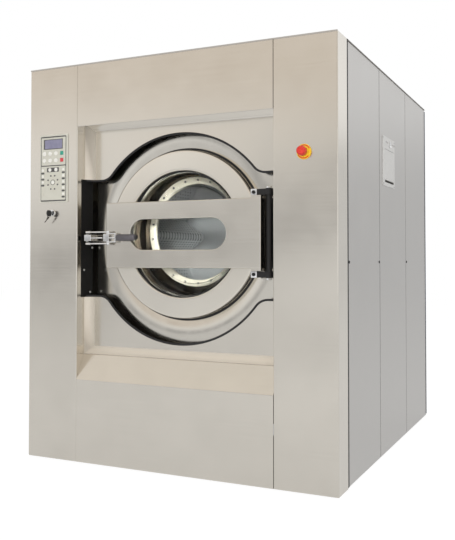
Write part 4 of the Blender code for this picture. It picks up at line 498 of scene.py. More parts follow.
def arc(centre, radius, start, end, steps):
    """Points on an arc, both ends included; angles in radians."""
    angles = [start + (end - start) * i / steps for i in range(steps + 1)]
    return [(centre[0] + radius * math.cos(a), centre[1] + radius * math.sin(a)) for a in angles]


def copied_node(name):
    """A merged copy of a CAD node's mesh, its flat faces whole again."""
    work = bmesh.new()
    work.from_mesh(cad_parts[name].data)
    bmesh.ops.remove_doubles(work, verts=work.verts, dist=0.00002)
    bmesh.ops.dissolve_limit(work, angle_limit=math.radians(0.5), verts=work.verts, edges=work.edges)
    return to_mesh(work)


# Geometry node trees for what repeats

def new_tree(name, inputs):
    """A geometry node tree, the sockets of its group input by their labels, and its group output."""
    tree = bpy.data.node_groups.new(name, "GeometryNodeTree")
    for label, kind in {"Geometry": "Geometry", **inputs}.items():
        tree.interface.new_socket(label, in_out="INPUT", socket_type="NodeSocket" + kind)
    tree.interface.new_socket("Geometry", in_out="OUTPUT", socket_type="NodeSocketGeometry")
    return tree, add_node(tree, "NodeGroupInput").outputs, add_node(tree, "NodeGroupOutput")


def end_tree(tree, given, taken, instance, **turned):
    """Set an instance on each loose vertex, in the tree's material, and lead them out."""
    placed = add_node(tree, "GeometryNodeInstanceOnPoints",
                      {"Points": given["Geometry"], "Instance": instance, **turned})
    real = add_node(tree, "GeometryNodeRealizeInstances", {"Geometry": placed.outputs["Instances"]})
    painted = add_node(tree, "GeometryNodeSetMaterial",
                       {"Geometry": real.outputs["Geometry"], "Material": given["Finish"]})
    tree.links.new(painted.outputs["Geometry"], taken.inputs["Geometry"])
    return tree


def grown(tree, spots, sizes):
    """The plain mesh that a tree makes on ((x, depth, z), direction) spots, its sizes given by label."""
    mesh = bpy.data.meshes.new("spots")
    mesh.from_pydata([at(place) for place, _ in spots], [], [])
    facing = mesh.attributes.new("facing", "FLOAT_VECTOR", "POINT")
    for value, (_, direction) in zip(facing.data, spots):
        value.vector = direction
    obj = linked("growing", mesh)
    added = obj.modifiers.new("Grown", "NODES")
    added.node_group = tree
    sockets = {item.name: item.identifier for item in tree.interface.items_tree if item.in_out == "INPUT"}
    for label, value in sizes.items():
        added[sockets[label]] = value
    return evaluated_mesh(obj)


def fastener_tree():
    """A round or six-sided head with a six-sided socket sunk in it, on each loose vertex."""
    tree, given, taken = new_tree("fasteners", {
        "Head radius": "Float", "Head height": "Float", "Sides": "Int", "Crown share": "Float",
        "Socket share": "Float", "Finish": "Material"})
    radius, height, sides = given["Head radius"], given["Head height"], given["Sides"]
    half, sink, crown, socket = (
        add_node(tree, "ShaderNodeMath", {0: size, 1: share}, operation="MULTIPLY").outputs[0]
        for size, share in ((height, 0.5), (height, 0.75), (radius, given["Crown share"]),
                            (radius, given["Socket share"])))
    solids = []
    for corners, top, bottom, rise in ((sides, radius, radius, 0.0), (sides, crown, radius, half),
                                       (6, socket, socket, sink)):
        cone = add_node(tree, "GeometryNodeMeshCone", {
            "Vertices": corners, "Side Segments": 1, "Fill Segments": 1, "Radius Top": top,
            "Radius Bottom": bottom, "Depth": half})
        place = add_node(tree, "ShaderNodeCombineXYZ", {"Z": rise})
        lifted = add_node(tree, "GeometryNodeTransform",
                          {"Geometry": cone.outputs["Mesh"], "Translation": place.outputs[0]})
        solids.append(lifted.outputs["Geometry"])
    body = add_node(tree, "GeometryNodeMeshBoolean", {"Mesh 2": solids[0]}, operation="UNION", solver="EXACT")
    tree.links.new(solids[1], body.inputs["Mesh 2"])
    head = add_node(tree, "GeometryNodeMeshBoolean", {"Mesh 1": body.outputs["Mesh"], "Mesh 2": solids[2]},
                    operation="DIFFERENCE", solver="EXACT")
    facing = add_node(tree, "GeometryNodeInputNamedAttribute", {"Name": "facing"}, data_type="FLOAT_VECTOR")
    turn = add_node(tree, "FunctionNodeAlignRotationToVector", {"Vector": facing.outputs["Attribute"]},
                    axis="Z")
    return end_tree(tree, given, taken, head.outputs["Mesh"], Rotation=turn.outputs["Rotation"])


FASTENERS = fastener_tree()
FASTENER_SIZES = ("Head radius", "Head height", "Sides", "Crown share", "Socket share")


def add_fasteners(name, spots, sizes, finish, body, slot):
    """Add a piece of alike fasteners on ((x, depth, z), direction) spots."""
    mesh = grown(FASTENERS, spots, {**dict(zip(FASTENER_SIZES, sizes)), "Finish": finish})
    add_piece(name, mesh, None, body, slot)


# Cabinet

def folded_pan(xs, depths, zs, open_side, radius, sheet=SHEET):
    """A pan of folded sheet between two X, two depths and two Z: rounded outer corners, one side open."""
    work = block_work(xs, depths, zs)
    away = Vector(open_side)
    gone = [face for face in work.faces if face.normal.dot(away) > 0.5]
    bmesh.ops.delete(work, geom=gone, context="FACES")
    folds = [edge for edge in work.edges if len(edge.link_faces) == 2]
    bmesh.ops.bevel(work, geom=folds, offset=radius, segments=3, profile=0.5, affect="EDGES")
    return smoothed(thickened(plain_mesh(work), sheet), 25)


def folded_run(section, left, right, radius):
    """A sheet folded along (depth, z) points with rounded folds, from left to right."""
    rounded_section = [section[0]]
    for before, corner, after in zip(section, section[1:], section[2:]):
        corner = Vector(corner)
        entry = corner + (Vector(before) - corner).normalized() * radius
        leave = corner + (Vector(after) - corner).normalized() * radius
        for share in (0.0, 0.5, 1.0):
            rounded_section.append(tuple(entry.lerp(corner, share).lerp(corner.lerp(leave, share), share)))
    rounded_section.append(section[-1])
    work = bmesh.new()
    chain = [work.verts.new((left, y_at(depth), z)) for depth, z in rounded_section]
    edges = [work.edges.new(pair) for pair in zip(chain, chain[1:])]
    grown_part = bmesh.ops.extrude_edge_only(work, edges=edges)["geom"]
    bmesh.ops.translate(work, verts=verts_of(grown_part), vec=(right - left, 0, 0))
    return smoothed(thickened(facing_front(work), SHEET), 25)


COLUMN_RADIUS, FOLD_RADIUS = 0.005, 0.004
PANEL_X, PANEL_LOW, PANEL_HIGH, PANEL_WIDTH, PANEL_LIP = -0.651, 1.252, 1.564, 0.150, 0.006
LOCK_X, LOCK_Z, LOCK_HOLE = -0.651, 1.189, 0.0103
STOP_X, STOP_Z, STOP_HOLE = 0.644, 1.408, 0.0153
THROUGH_FRONT = (-0.01, 0.01)


def build_columns():
    """The two front columns, whose front face turns round both edges in a small radius."""
    half = PANEL_WIDTH / 2 - PANEL_LIP
    window = box((PANEL_X - half, PANEL_X + half), THROUGH_FRONT,
                 (PANEL_LOW + PANEL_LIP, PANEL_HIGH - PANEL_LIP))
    lock_hole = peg(LOCK_HOLE, LOCK_X, LOCK_Z, THROUGH_FRONT)
    stop_hole = peg(STOP_HOLE, STOP_X, STOP_Z, THROUGH_FRONT)
    for name, side, holes in (("left_column", -1, (window, lock_hole)), ("right_column", 1, (stop_hole,))):
        pan = folded_pan((side * SEAM_X, side * WIDTH / 2), (0, MODULE_DEPTH), (FLOOR_GAP, HEIGHT), (0, 1, 0),
                         COLUMN_RADIUS)
        add_piece(f"{name}_sheet", cut_away(pan, *holes), FRONT_STEEL, "cabinet", "front_steel", (name,))


def build_centre_panels():
    """The top and lower panels between the columns, with their sloped returns into the recess."""
    half, behind = SEAM_X - SEAM_GAP, FOLD_DEPTH + 0.03
    sections = {"top_front_panel": [(MODULE_DEPTH, HEIGHT), (0, HEIGHT), (0, TOP_PANEL_LOW),
                                    (FOLD_DEPTH, TOP_PANEL_HIGH_FOLD), (behind, TOP_PANEL_HIGH_FOLD)],
                "lower_front_panel": [(behind, LEDGE_Z), (FOLD_DEPTH, LEDGE_Z), (0, LOWER_FOLD_Z),
                                      (0, FLOOR_GAP), (MODULE_DEPTH, FLOOR_GAP)]}
    for name, section in sections.items():
        add_piece(f"{name}_sheet", folded_run(section, -half, half, FOLD_RADIUS), FRONT_STEEL, "cabinet",
                  "front_steel", (name,))


def half_cutout(edge_z, grow, reach, circle_steps=40, fillet_steps=10):
    """One half of the cut-out's outline: slot edge, fillet, circle, and back on the other side."""
    side = 1 if edge_z > CUTOUT_Z else -1
    fillet_z = abs(edge_z - CUTOUT_Z) + CUTOUT_FILLET
    span = CUTOUT_RADIUS + CUTOUT_FILLET
    fillet_x = math.sqrt(span ** 2 - fillet_z ** 2)
    tangent = math.atan2(fillet_z, fillet_x)
    fillet = CUTOUT_FILLET - grow
    right = [(reach, fillet_z - fillet)]
    right += arc((fillet_x, fillet_z), fillet, -math.pi / 2, tangent - math.pi, fillet_steps)
    right += arc((0, 0), CUTOUT_RADIUS + grow, tangent, math.pi / 2, circle_steps)[1:]
    left = [(-x, z) for x, z in reversed(right[:-1])]
    return [(x, CUTOUT_Z + side * z) for x, z in right + left]


BEAD_RADIUS, BEAD_OVERLAP = 0.005, -0.0053


def build_recess():
    """The two halves of the recess panel and the rubber edge trim that runs round each."""
    half = SEAM_X - SEAM_GAP
    low, high = LEDGE_Z + SEAM_GAP, TOP_PANEL_HIGH_FOLD - SEAM_GAP
    inner_half, inner_low, inner_high = half - RECESS_BAND, low + RECESS_BAND, high - RECESS_BAND
    reach, mid_sheet = half + 0.01, SHEET / 2
    # The bead starts on the slanted band, 5 mm in from the panel's side edge.
    rise = BEAD_RADIUS * (RECESS_DEPTH - FOLD_DEPTH) / RECESS_BAND
    end_x, end_depth = half - BEAD_RADIUS, FOLD_DEPTH + rise + mid_sheet
    for name, edge_z in (("upper", SLOT_TOP), ("lower", SLOT_BOTTOM)):
        work = bmesh.new()
        rim, floor = ([work.verts.new((x, y_at(depth), z)) for x, z in ((-a, b), (a, b), (a, c), (-a, c))]
                      for depth, a, b, c in ((FOLD_DEPTH, half, low, high),
                                             (RECESS_DEPTH, inner_half, inner_low, inner_high)))
        work.faces.new(floor)
        for i in range(4):
            work.faces.new((rim[i], rim[(i + 1) % 4], floor[(i + 1) % 4], floor[i]))
        away = low - 0.01 if edge_z > CUTOUT_Z else high + 0.01
        outline = half_cutout(edge_z, 0, reach) + [(-reach, away), (reach, away)]
        mesh = cut_away(thickened(facing_front(work), SHEET), prism(outline, 0.02, 0.14))
        add_piece(f"{name}_recess_sheet", mesh, FRONT_STEEL, "cabinet", "front_steel",
                  (f"{name}_recess_panel",))
        # Upward ledge faces and sideways faces take the lighter ledge copy: painted light.
        second_finish(mesh, LEDGE_STEEL, lambda face: (face.normal.z > 0.5 and face.center.z < inner_low)
                      or abs(face.normal.x) > 0.5)
        run = half_cutout(edge_z, BEAD_OVERLAP, inner_half)
        points = [(x, RECESS_DEPTH + mid_sheet, z) for x, z in run]
        points = [(end_x, end_depth, run[0][1])] + points + [(-end_x, end_depth, run[-1][1])]
        add_piece(f"{name}_edge_bead", tube(points, BEAD_RADIUS, 16), RUBBER, "cabinet", "rubber",
                  (f"{name}_edge_trim",))


# Sides

SIDE_TOP = HEIGHT - SHEET - SEAM_GAP
SIDE_PARTS = [("left_side_panel", -1, MODULE_DEPTH + MODULE_GAP, CABINET_DEPTH),
              ("right_side_panel_front", 1, MODULE_DEPTH + MODULE_GAP, 0.6985),
              ("right_side_panel_rear", 1, 1.2815, CABINET_DEPTH),
              ("right_side_panel_middle", 1, 0.7015, 1.2785)]
PLATE_DEPTHS, PLATE_LEVELS = (0.757, 1.009), (1.333, 1.583)
POCKET_DEPTHS, POCKET_LEVELS = (0.801, 0.989), (1.352, 1.520)
KNOB_DEPTH, KNOB_Z = 0.911, 1.551


def with_hatch(panel):
    """The middle side panel with the hatch frame and its pocket pressed in."""
    window = box((SIDE_X - 0.01, HATCH_FACE_X + 0.01), POCKET_DEPTHS, POCKET_LEVELS)
    bore = rod(0.0063, (SIDE_X - 0.03, KNOB_DEPTH, KNOB_Z), (SIDE_X + 0.01, KNOB_DEPTH, KNOB_Z))
    pocket = folded_pan((SIDE_X - 0.04, SIDE_X - 0.001), POCKET_DEPTHS, POCKET_LEVELS, (1, 0, 0), 0.004, 0.0012)
    slots = [box((SIDE_X + 0.0005, HATCH_FACE_X + 0.01), (middle - 0.03, middle + 0.03),
                 (KNOB_Z, KNOB_Z + 0.009)) for middle in (KNOB_DEPTH - 0.066, KNOB_DEPTH + 0.066)]
    plate = box((SIDE_X - 0.0005, HATCH_FACE_X), PLATE_DEPTHS, PLATE_LEVELS)
    frame_plate = bevelled(cut_away(plate, window, bore, *slots), 0.0007)
    return joined(cut_away(panel, window, bore), pocket, frame_plate)


def build_sides():
    """The side panels; the middle one on the right carries the hatch."""
    for name, side, start, end in SIDE_PARTS:
        mesh = folded_pan((side * SIDE_X, side * (SIDE_X - 0.02)), (start, end), (FLOOR_GAP, SIDE_TOP),
                          (-side, 0, 0), FOLD_RADIUS)
        if name == "right_side_panel_middle":
            mesh = with_hatch(mesh)
        add_piece(f"{name}_sheet", mesh, SIDE_STEEL, "cabinet", "side_steel", (name,))
    second_finish(mesh, HATCH_STEEL, lambda face: face.center.x > HATCH_FACE_X - 0.002)


# Controls

KEY_X, SQUARE_KEY_X, KEY_Z = (-0.7005, -0.6653, -0.6301), -0.5949, (1.478, 1.4445)
KEY_HALF, KEY_HOLE_HALF, KEY_HOLE_RADIUS, KEY_FRONT = 0.009, 0.0096, 0.0111, -0.0055
KEY_HOLE_DEPTHS, LOWER_FOIL, LOWER_PITCH = (-0.01, 0.003), -0.0041, 0.0296
CROSS_X, CROSS_Z = -0.6480, 1.3370


def rounded(left, right, low, high, radius, steps=5):
    """A rectangle's outline with round corners."""
    outline = []
    for x, z, start in ((right - radius, low + radius, -0.5), (right - radius, high - radius, 0.0),
                        (left + radius, high - radius, 0.5), (left + radius, low + radius, 1.0)):
        outline += arc((x, z), radius, start * math.pi, (start + 0.5) * math.pi, steps)
    return outline


def round_angles(count, start=0.0):
    """Angles spread evenly round a circle, in radians."""
    return [2 * math.pi * (step + start) / count for step in range(count)]


def small_key(x, z, radius, rise):
    """A domed key cap that stands on the lower unit."""
    return lathe([(0, -rise * 0.96), (radius * 0.45, -rise), (radius * 0.82, -rise * 0.92),
                  (radius, -rise * 0.6), (radius, 0), (0, 0)], (x, LOWER_FOIL, z), 28)


def print_bar(x, z, width, height):
    """A dark printed field of the lower unit."""
    outline = rounded(x - width / 2, x + width / 2, z - height / 2, z + height / 2, 0.0025, 4)
    return prism(outline, LOWER_FOIL, -0.003)


def square_block(z, half, depths, *edges):
    """A square block in the column of the start and stop keys."""
    return box((SQUARE_KEY_X - half, SQUARE_KEY_X + half), depths, (z - half, z + half), *edges)


def build_panel():
    """The control housing with the upper key unit and the lower key unit in their dark frames."""
    bores = [peg(KEY_HOLE_RADIUS, x, z, KEY_HOLE_DEPTHS, 32) for x in KEY_X for z in KEY_Z]
    bores += [square_block(z, KEY_HOLE_HALF, KEY_HOLE_DEPTHS) for z in KEY_Z]
    face = cut_away(prism(rounded(-0.7275, -0.5580, 1.2390, 1.5700, 0.005), -0.003, -0.0003), *bores)
    body = cut_away(box((-0.7197, -0.5823), (-0.0015, 0.080), (1.2583, 1.5577)), *bores)
    add_piece("control_housing_face", joined(bevelled(face, 0.0006), body), FOIL, "cabinet", "keypad",
              ("control_housing",))
    # Each layer's left, right, low, high and corner radius, the depth of its front, its finish and its holes
    for name, outline, front, finish, holes in (
            ("dark_frames", (-0.7215, -0.5690, 1.2445, 1.5625, 0.005), -0.0034, FOIL_DARK, bores),
            ("upper_unit_foil", (-0.7175, -0.5725, 1.4210, 1.5560, 0.003), -0.0038, FOIL, bores),
            ("lower_unit_foil", (-0.7185, -0.5722, 1.2510, 1.4160, 0.003), -0.0038, FOIL, ()),
            ("display_frame", (-0.7040, -0.5890, 1.4985, 1.5480, 0.002), -0.0041, FOIL_DARK, ()),
            ("display_glass", (-0.6960, -0.5930, 1.5020, 1.5445, 0.001), -0.0044, DISPLAY, ())):
        layer = prism(rounded(*outline), front, -0.002)
        add_piece(name, cut_away(layer, *holes) if holes else layer, finish, "cabinet", "keypad")


def build_keys():
    """The eight moving keys of the upper unit, and the lower unit's keys that hardly travel."""
    cap_profile = [(0, 0.006), (0.0105, 0.006), (0.0105, 0.0012), (0.0098, 0.0003), (0.0085, 0.0), (0, 0.0003)]
    square_keys = (("start_key", "key_start", GREEN_KEY, "green_key"),
                   ("stop_key", "key_stop", RED_KEY, "red_key"))
    for row, z in enumerate(KEY_Z):
        for column, x in enumerate(KEY_X):
            number = row * len(KEY_X) + column + 1
            add_piece(f"program_key_{number}_cap", lathe(cap_profile, (x, KEY_FRONT, z), 40), WHITE_KEY,
                      f"key_{number}", "white_key", (f"program_key_{number}",))
        name, body, finish, slot = square_keys[row]
        cap = square_block(z, KEY_HALF, (KEY_FRONT, 0.0005), 0.0012, 3)
        add_piece(f"{name}_cap", cap, finish, body, slot, (name,))
    bars, caps, pale = [], [], []
    for x, z_top in ((-0.7085, 1.3975), (-0.5850, 1.3985)):
        for row in range(5):
            z, marked = z_top - row * LOWER_PITCH, x > CROSS_X or row < 3
            (caps if marked else pale).append(small_key(x, z, 0.0066, 0.0016))
            if marked:
                bars.append(print_bar(x, z - LOWER_PITCH / 2, 0.0185, 0.0088))
    bars.append(print_bar(-0.6475, 1.3985, 0.072, 0.0215))
    caps += [small_key(x, 1.3985, 0.0092, 0.0018) for x in (-0.6655, -0.6290)]
    caps.append(small_key(CROSS_X, CROSS_Z, 0.0088, 0.0016))
    for step_x, step_z in ((0, 1), (0, -1), (1, 0), (-1, 0)):
        pale.append(small_key(CROSS_X + step_x * 0.0300, CROSS_Z + step_z * 0.0325, 0.0072, 0.0014))
        for aside in (-0.0115, 0.0115):
            bars.append(print_bar(CROSS_X + step_x * 0.0285 + aside * step_z,
                                  CROSS_Z + step_z * 0.0320 + aside * step_x, 0.0090, 0.0075))
    ring = [(CROSS_X + 0.0125 * math.cos(a), -0.0037, CROSS_Z + 0.0125 * math.sin(a)) for a in round_angles(40)]
    bars.append(tube(ring, 0.0012, 8, cyclic=True))
    for name, meshes, finish in (("prints", bars, FOIL_DARK), ("keys", caps, WHITE_KEY),
                                 ("pale_keys", pale, PALE_KEY)):
        add_piece(f"lower_unit_{name}", joined(*meshes), finish, "cabinet", "keypad")


def build_lock():
    """The lock's bright bezel, and the key: a black bow on its blade, with a second key on a ring."""
    bezel = [(0, 0.036), (0.010, 0.036), (0.010, 0.0057), (0.0165, 0.0057), (0.0165, 0.0030)]
    bezel += arc((0.0135, 0.0030), 0.003, 0, -math.pi / 2, 6)
    bezel += [(0.0085, 0.0), (0.0073, 0.0014), (0.0073, 0.0123), (0, 0.0123)]
    add_piece("lock_bezel", lathe(bezel, (LOCK_X, -0.006, LOCK_Z), 64), CHROME, "cabinet", "chrome",
              ("key_lock_bezel",))
    plug = peg(0.007, LOCK_X, LOCK_Z, (-0.0058, 0.006), 40)
    blade = box((LOCK_X - 0.0011, LOCK_X + 0.0011), (-0.0165, -0.004), (LOCK_Z - 0.0035, LOCK_Z + 0.0035),
                0.0004, 1)
    add_piece("key_plug_and_blade", joined(plug, blade), ZINC, "lock_key", "chrome", ("switch_key",))
    near, far, low, high = -0.0095, -0.0440, LOCK_Z - 0.0185, LOCK_Z + 0.0105
    bow = [(near, low + 0.010), (near, high - 0.010), (near - 0.007, high), (far + 0.007, high),
           (far, high - 0.010), (far, low + 0.010), (far + 0.007, low), (near - 0.007, low)]
    hull = bevelled(prism(bow, LOCK_X - 0.0036, LOCK_X + 0.0036, "X"), 0.0022, 3, 20)
    add_piece("key_bow", hull, BLACK_PLASTIC, "lock_key", "black_plastic")
    eye_depth, eye_z = -0.0290, low - 0.0005
    loop = [(LOCK_X + 0.0055 * math.cos(a), eye_depth + 0.003 * math.cos(a), eye_z + 0.0060 * math.sin(a))
            for a in round_angles(32)]
    spare = bevelled(prism([(-0.0050, 0.003), (0.0050, 0.003), (0.0046, -0.010), (0.0022, -0.013),
                            (0.0022, -0.031), (0.0003, -0.0335), (-0.0022, -0.031), (-0.0022, -0.013),
                            (-0.0046, -0.010)], -0.0009, 0.0009), 0.0003, 1)
    hung = Matrix.Translation((LOCK_X - 0.002, eye_depth, eye_z - 0.0045)) @ Matrix.Rotation(0.72, 4, "Y")
    add_piece("key_ring_and_spare", joined(tube(loop, 0.0008, 8, cyclic=True), moved(spare, hung)), NICKEL,
              "lock_key", "chrome")


def build_stop():
    """The emergency stop: a yellow disc with a collar, and the red mushroom head on its stem."""
    base = [(0.0131, 0.050), (0.015, 0.050), (0.015, 0.0097), (0.0325, 0.0097), (0.0325, 0.0070),
            (0.0315, 0.0060), (0.0185, 0.0057), (0.018, 0.0052), (0.018, 0.0008), (0.0172, 0.0), (0.0131, 0.0)]
    add_piece("stop_disc_and_collar", lathe(base, (STOP_X, -0.010, STOP_Z), 72), STOP_YELLOW, "cabinet",
              "stop_yellow", ("stop_switch_base",))
    marks = []
    for start in (0.15 * math.pi, 1.15 * math.pi):
        end = start + 0.62 * math.pi
        band = arc((STOP_X, STOP_Z), 0.0292, start, end, 20) + arc((STOP_X, STOP_Z), 0.0248, end, start, 20)
        marks.append(prism(band, -0.0042, -0.0035))
    add_piece("stop_disc_arcs", joined(*marks), STOP_RED, "cabinet", "stop_red")
    head = 0.0317
    profile = [(0, 0.082), (0.0125, 0.082), (0.0125, head), (0.0185, head), (0.0200, head - 0.0015),
               (0.0200, 0.0135), (0.0197, 0.0095), (0.0182, 0.0050), (0.0150, 0.0018), (0.0110, 0.0004),
               (0.0, 0.0)]
    add_piece("stop_mushroom", lathe(profile, (STOP_X, -0.050, STOP_Z), 72), STOP_RED, "stop_head", "stop_red",
              ("stop_button",))


# Door, tub front and clamp

RING_INNER, RING_OUTER, RING_DEPTH, RING_THICKNESS = 0.295, 0.392, 0.120, 0.040
GLASS_SEAT, GLASS_FLANGE, GLASS_THICKNESS = 0.1453, 0.314, 0.008
BOWL_MOUTH, BOWL_RADIUS, BOWL_DEPTH, BOWL_CORNER = 0.288, 0.240, 0.262, 0.020
COLLAR_FOOT, COLLAR_SEAT, COLLAR_RIM, COLLAR_FLANGE, COLLAR_SHEET = 0.275, 0.207, 0.163, 0.150, 0.004
HINGE_X, HINGE_DEPTH, PIN_HOLE = 0.442, 0.110, 0.0083
BAR_X, BAR_DEPTHS, BAR_LEVELS, BAR_SHEET = (-0.386, 0.419), (0.070, 0.1197), (0.922, 1.232), 0.003
SLOT_CENTRE_X, SLOT_CENTRE_Z, SLOT_RADIUS = 0.179, 1.078, 0.071
ARM_LEVELS = {"upper_hinge_arm": (1.2433, 1.2733), "lower_hinge_arm": (0.8807, 0.9107)}
CLAMP_X, CLAMP_DEPTH, CLAMP_Z, CLAMP_CRANK = -0.3615, 0.047, 1.065, 0.009
CHEEK_OFFSET, ROD_OFFSET, LINK_BAR_X = 0.0198, 0.0276, -0.475


def even_points(outline, count):
    """Points spread evenly along a closed outline."""
    loop = [Vector(point) for point in outline + outline[:1]]
    lengths = [(b - a).length for a, b in zip(loop, loop[1:])]
    total = sum(lengths)
    points, walked, index = [], 0, 0
    for step in range(count):
        target = total * step / count
        while walked + lengths[index] < target:
            walked += lengths[index]
            index += 1
        points.append(tuple(loop[index].lerp(loop[index + 1], (target - walked) / lengths[index])))
    return points


def loft(rings):
    """A closed band of faces through rings of as many points each."""
    work = bmesh.new()
    grid = [[work.verts.new(point) for point in ring] for ring in rings]
    count = len(grid[0])
    for inner, outer in zip(grid, grid[1:]):
        for i in range(count):
            j = (i + 1) % count
            work.faces.new((inner[i], inner[j], outer[j], outer[i]))
    bmesh.ops.recalc_face_normals(work, faces=work.faces)
    return work


def tub_front_profile():
    """(radius, depth) of the tub front: rolled neck, gasket seat, step behind the door ring and dish."""
    profile = [(0.330, COLLAR_FOOT), (0.330, COLLAR_SEAT + 0.006)]
    profile += arc((0.336, COLLAR_SEAT + 0.006), 0.006, math.pi, 1.5 * math.pi, 5)[1:]
    profile += [(0.380, COLLAR_SEAT), (0.3835, COLLAR_SEAT - 0.0015), (0.385, COLLAR_SEAT - 0.005),
                (0.386, COLLAR_RIM + 0.006), (0.3868, COLLAR_RIM + 0.0018)]
    for share in [step / 14 for step in range(15)]:
        rise = math.sin(share * math.pi / 2)
        profile.append((0.388 + 0.087 * share, COLLAR_RIM - (COLLAR_RIM - COLLAR_FLANGE) * rise))
    return profile


def build_tub_front():
    """The polished tub front, lofted from the round neck to the winged outline, with the keeper hook."""
    outline = half_cutout(SLOT_TOP, 0.010, 0.6, 96, 16) + half_cutout(SLOT_BOTTOM, 0.010, 0.6, 96, 16)[::-1]
    spread = even_points(outline, 288)
    angles = [math.atan2(z - DOOR_Z, x) for x, z in spread]
    rings = [[(radius * math.cos(a), y_at(depth), DOOR_Z + radius * math.sin(a)) for a in angles]
             for radius, depth in tub_front_profile()]
    inner = rings[-1]
    for share in (0.25, 0.5, 0.75, 1.0):
        rings.append([(near[0] + (x - near[0]) * share, y_at(COLLAR_FLANGE), near[2] + (z - near[2]) * share)
                      for near, (x, z) in zip(inner, spread)])
    rings.append([(x, y_at(COLLAR_FOOT), z) for x, z in spread])
    dish = smoothed(thickened(facing_front(loft(rings)), COLLAR_SHEET), 30)
    add_piece("tub_front_dish", dish, POLISHED, "tub", "polished_steel", ("tub_front",))
    hook = prism([(-0.4395, 0.019), (-0.4395, 0.152), (-0.4675, 0.152), (-0.4675, 0.0302), (-0.4775, 0.0302),
                  (-0.4775, 0.019)], CLAMP_Z - 0.015, CLAMP_Z + 0.015, "Z")
    add_piece("keeper_hook", bevelled(hook, 0.002, 3), CHROME, "tub", "chrome")
    spike = lathe([(0, 0), (0.0045, 0), (0.0045, 0.048), (0.0032, 0.050), (0, 0.050)],
                  (-0.4395, 0.046, CLAMP_Z), 24, "X")
    add_piece("keeper_stop_rod", spike, CHROME, "tub", "chrome")


def build_gasket():
    """The gasket: a round front lip, two grooves on its flanks and a flat foot on the seat."""
    front, length = RING_DEPTH + RING_THICKNESS + 0.0003, 0.0464
    profile = [(0.334, length), (0.378, length), (0.378, 0.030), (0.374, 0.027), (0.374, 0.022), (0.378, 0.019)]
    profile += arc((0.368, 0.010), 0.010, 0, -math.pi / 2, 6)
    profile += [(0.358, 0.0), (0.356, 0.004), (0.352, 0.004), (0.350, 0.0)]
    profile += arc((0.344, 0.010), 0.010, -math.pi / 2, -math.pi, 6)
    add_piece("gasket_profile", lathe(profile, (0, front, DOOR_Z), 160), RUBBER, "tub", "rubber",
              ("door_gasket",))
    lip = [(0.3945, 0.1622), (0.3945, 0.1590), (0.4012, 0.1568), (0.4032, 0.1574), (0.4040, 0.1590)]
    add_piece("gasket_lip", lathe(lip, (0, 0, DOOR_Z), 160), RUBBER, "tub", "rubber")


def build_door_ring():
    """The turned door ring: soft shoulders on both edges and a rabbet for the glass behind."""
    profile = [(0.3143, RING_THICKNESS), (RING_OUTER - 0.002, RING_THICKNESS), (RING_OUTER, 0.038)]
    profile += arc((RING_OUTER - 0.007, 0.0072), 0.007, 0, -math.pi / 2, 8)
    profile += [(RING_OUTER - 0.016, 0.0), (RING_INNER + 0.014, 0.0)]
    profile += arc((RING_INNER + 0.006, 0.0062), 0.006, -math.pi / 2, -math.pi, 8)
    profile += [(RING_INNER, 0.025), (0.3143, 0.025)]
    add_piece("door_ring_turned", lathe(profile, (0, RING_DEPTH, DOOR_Z), 192), DOOR_STEEL, "door",
              "front_steel", ("door_ring",))
    near, far = RING_INNER - 0.0035, RING_INNER - 0.0003
    seal = lathe([(near, 0.0), (far, 0.0), (far, 0.006), (near, 0.006)], (0, 0.139, DOOR_Z), 160)
    add_piece("glass_seal", seal, RUBBER, "door", "rubber")


def build_glass():
    """The bowl: a flange in the ring's rabbet, a drawn wall and a flat bottom with round corners."""
    deep, thick = BOWL_DEPTH - GLASS_SEAT, GLASS_THICKNESS
    corner = (BOWL_RADIUS - BOWL_CORNER, deep - BOWL_CORNER)
    profile = [(0, deep)] + arc(corner, BOWL_CORNER, math.pi / 2, 0.12, 8)
    profile += [(BOWL_MOUTH, 2 * thick), (BOWL_MOUTH + thick, thick), (GLASS_FLANGE, thick), (GLASS_FLANGE, 0)]
    profile += [(BOWL_MOUTH - thick / 2, 0), (BOWL_MOUTH - thick, thick)]
    profile += arc(corner, BOWL_CORNER - thick, 0.12, math.pi / 2, 8) + [(0, deep - thick)]
    add_piece("bowl_glass", lathe(profile, (0, GLASS_SEAT, DOOR_Z), 160), GLASS, "door", "glass",
              ("door_glass",))


def slot_outline(grow, steps=24):
    """The crossbar's long slot, grown by a margin."""
    right = arc((SLOT_CENTRE_X, SLOT_CENTRE_Z), SLOT_RADIUS + grow, -math.pi / 2, math.pi / 2, steps)
    return right + [(-x, z) for x, z in reversed(right)]


def build_crossbar():
    """The crossbar: a folded pan with a rolled slot, its heavy end plate and the clamp's block."""
    pan = folded_pan(BAR_X, BAR_DEPTHS, BAR_LEVELS, (0, 1, 0), FOLD_RADIUS, BAR_SHEET)
    pan = cut_away(pan, prism(slot_outline(0.004), 0.05, 0.08))
    roll = [(0.0, 0.089), (0.0, 0.0745), (0.0004, 0.0724), (0.0014, 0.0709), (0.0028, 0.0703), (0.004, 0.0701)]
    rings = [[(x, y_at(depth), z) for x, z in slot_outline(grow)] for grow, depth in roll]
    rim = smoothed(thickened(plain_mesh(loft(rings)), 0.002), 30)
    add_piece("crossbar_pan", joined(pan, rim), FRONT_STEEL, "door", "front_steel", ("crossbar",))
    add_piece("crossbar_end_bar", box((0.372, 0.4188), (0.0712, 0.1197), (0.911, 1.243), 0.002), FRONT_STEEL,
              "door", "front_steel")
    block = box((CLAMP_X - 0.016, CLAMP_X + 0.016), (0.032, 0.0715), (CLAMP_Z - 0.017, CLAMP_Z + 0.017))
    bore = rod(0.0053, (CLAMP_X, CLAMP_DEPTH, CLAMP_Z - 0.03), (CLAMP_X, CLAMP_DEPTH, CLAMP_Z + 0.03))
    add_piece("clamp_block", bevelled(cut_away(block, bore), 0.0015), CHROME, "door", "chrome")


